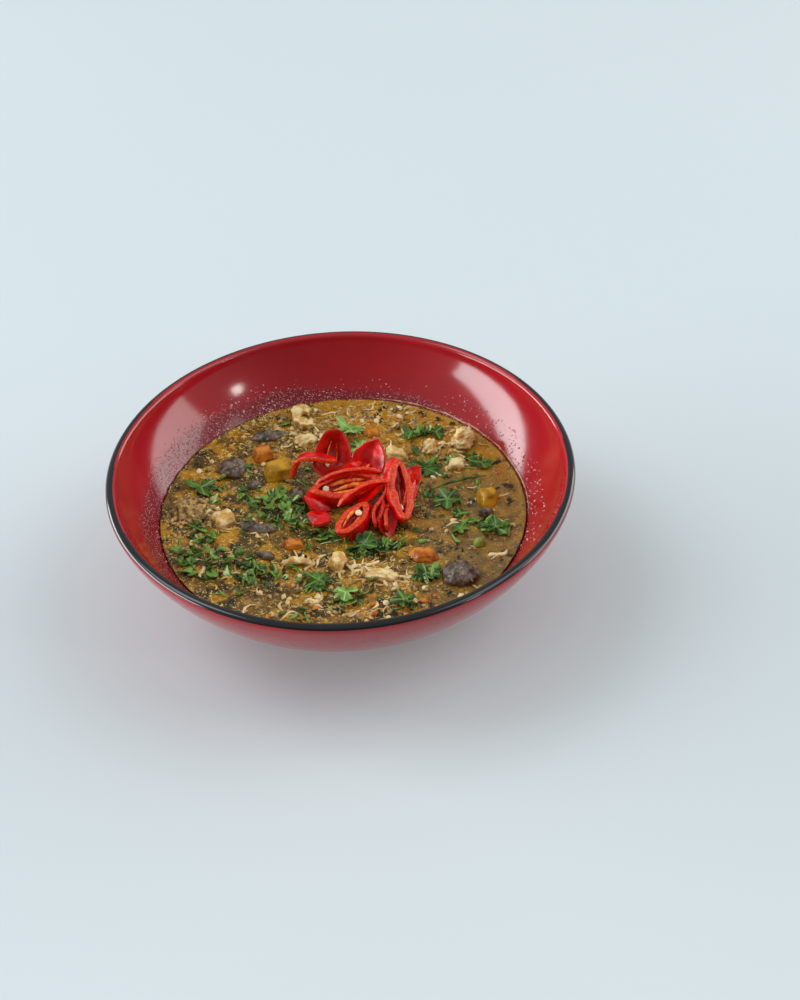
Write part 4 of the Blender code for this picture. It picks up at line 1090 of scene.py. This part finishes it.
# shreds of chicken, 3 to 9 mm long, soaked to a pale gold
shred_look, tree, shader = finish_of("soaked chicken shreds", "#dcb877", 0.34, IOR=1.4)
place = node(tree, "ShaderNodeTexCoord").outputs["Object"]
patchy = node(tree, "ShaderNodeTexNoise", None, {"Scale": 260.0, "Detail": 3.0}, {"Vector": place}).outputs["Fac"]
tint = node(tree, "ShaderNodeAttribute", {"attribute_name": "tint"}).outputs["Fac"]
colour = blend_colours(tree, "#9c6f28", "#d9b369", ramp(tree, patchy, 0.36, 0.62))
tree.links.new(blend_colours(tree, colour, "#f0d8a4", ramp(tree, tint, 0.62, 1.0)), shader.inputs["Base Color"])
shreds = [shred_mesh(0.2, 0.12, 0.12, 11), shred_mesh(-0.3, 0.1, 0.1, 12), shred_mesh(0.1, -0.2, 0.16, 13), shred_mesh(0.35, 0.05, 0.08, 14)]
shred_drifts = (
    (12.0, 57.0, 26.0, 4.0, 0, 44, 0.3), (20.0, 48.0, 26.0, 6.0, -10, 44, 0.3), (-6.0, 48.0, 9.0, 8.0, 0, 18, 0.3),
    (44.0, 33.0, 10.0, 8.0, -30, 14, 0.4), (-4.0, -29.0, 18.0, 4.0, -8, 34, 0.5), (12.0, -36.0, 12.0, 5.0, -20, 40, 0.5),
    (0.0, -52.0, 34.0, 6.0, 0, 34, 0.2), (-44.0, -28.0, 16.0, 8.0, -20, 20, 0.8), (-52.0, 0.0, 8.0, 16.0, 0, 18, 0.4),
    (-28.0, -6.0, 12.0, 4.0, -10, 8, 0.8), (50.0, 0.0, 10.0, 24.0, 0, 9, 0.0), (0.0, 0.0, 63.0, 63.0, 0, 90, 0.0),
)
loose = []
for name in chicken_turns:
    (left, front, _), (right, back, _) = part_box(name)
    loose.append(((left + right) / 2 / MM, (front + back) / 2 / MM, (right - left) * 0.75 / MM, (back - front) * 0.75 / MM, 0, 7, 1.2))
torn = strew("chicken_shreds", drift_places(shred_drifts + tuple(loose), 9, 0.15), shreds, 1.8, 7.0, 0.3, 5, shred_look)

# crumbs of meat, 0.7 to 2.4 mm, and bits of carrot
crumbs = [crumb_mesh(1), crumb_mesh(2), crumb_mesh(3)]
crumb_drifts = (
    (-54.0, 4.0, 9.0, 9.0, 0, 130, 2.6), (-56.0, -6.0, 6.0, 12.0, 0, 60, 0.6), (10.0, 52.0, 36.0, 10.0, 0, 190, 0.3),
    (-20.0, 44.0, 16.0, 10.0, 20, 70, 0.3), (40.0, 30.0, 16.0, 16.0, 0, 70, 0.2), (0.0, -44.0, 44.0, 14.0, 0, 170, 0.3),
    (26.0, 4.0, 6.0, 8.0, 0, 30, 0.8), (0.0, 0.0, 64.0, 64.0, 0, 380, 0.1),
)
ground = strew("meat_crumbs", drift_places(crumb_drifts, 10, 0.25)[::2], crumbs, 1.0, 3.2, 0.5, 6, mince_look)
pale_crumbs = strew("pale_meat_crumbs", drift_places(crumb_drifts, 12, 0.3)[::3], crumbs, 0.8, 2.8, 0.5, 7, shred_look)
carrot_drifts = ((0.0, 0.0, 62.0, 62.0, 0, 40, 0.1), (-19.0, -16.0, 4.0, 3.0, 0, 7, 0.3), (12.0, 44.0, 4.0, 3.0, 0, 6, 0.2), (0.0, -50.0, 30.0, 6.0, 0, 14, 0.2))
carrot_bits = strew("carrot_bits", drift_places(carrot_drifts, 13, 0.1), crumbs, 1.2, 3.0, 0.5, 9, root_looks["orange carrot flesh"])


# Film left on the glaze just above the soup: fine drops of broth and fat, thick at the back
# left and on the right. A pale peach ribbon along the soup's edge is a painted highlight on the meniscus.
film_look, tree, shader = finish_of("broth film drops", "#cf908c", 0.12, IOR=1.38)
place = node(tree, "ShaderNodeTexCoord").outputs["Object"]
patchy = node(tree, "ShaderNodeTexNoise", None, {"Scale": 800.0, "Detail": 2.0}, {"Vector": place}).outputs["Fac"]
tree.links.new(blend_colours(tree, "#a83a42", "#ecbcb8", ramp(tree, patchy, 0.4, 0.62)), shader.inputs["Base Color"])
draw = random.Random(31)
film_places = []
for first, last, count, low, high in ((108, 152, 520, 0.6, 9.0), (60, 108, 110, 0.4, 8.0), (-25, 55, 620, 0.5, 8.0), (152, 200, 60, 0.3, 3.0)):
    for _ in range(count):
        turn = math.radians(draw.uniform(first, last))
        height = SOUP_LEVEL + low + (high - low) * draw.random() ** 1.4
        radius = inside_radius(height) - 0.02
        film_places.append(Vector((radius * math.cos(turn), radius * math.sin(turn), height)))
film = strew("broth_film_drops", film_places[::2], crumbs, 0.2, 0.9, 0.6, 14, film_look)

# pale peach ribbon along the soup's edge from the back round to the right: a painted highlight on the meniscus
meniscus_highlight_look, tree, shader = finish_of("painted meniscus highlight", "#d8a98a", 0.4, IOR=1.4)
place = node(tree, "ShaderNodeTexCoord").outputs["Object"]
patchy = node(tree, "ShaderNodeTexNoise", None, {"Scale": 300.0, "Detail": 3.0}, {"Vector": place}).outputs["Fac"]
tree.links.new(blend_colours(tree, "#9a6038", "#e0b898", ramp(tree, patchy, 0.35, 0.6)), shader.inputs["Base Color"])
meniscus_highlight_rows = []
for step in range(90):
    turn = math.radians(78.0 - step)
    wide = 0.42 * min(1.0, step / 12.0, (89 - step) / 12.0) + 0.04
    height = SOUP_LEVEL + 0.9 + 0.25 * noise.noise(Vector((step / 6.0, 1.0, 2.0)))
    radius = inside_radius(height) - 0.05
    way = Vector((math.cos(turn), math.sin(turn), 0.0))
    row = []
    for point in range(6):
        lean = math.tau * point / 6
        row.append(way * (radius + 0.3 * wide * math.cos(lean)) + Vector((0.0, 0.0, height + wide * math.sin(lean))))
    meniscus_highlight_rows.append(row)
line = add_piece("dried_starch_line", swept_mesh("line", meniscus_highlight_rows, False, [0.0] * 6), meniscus_highlight_look)
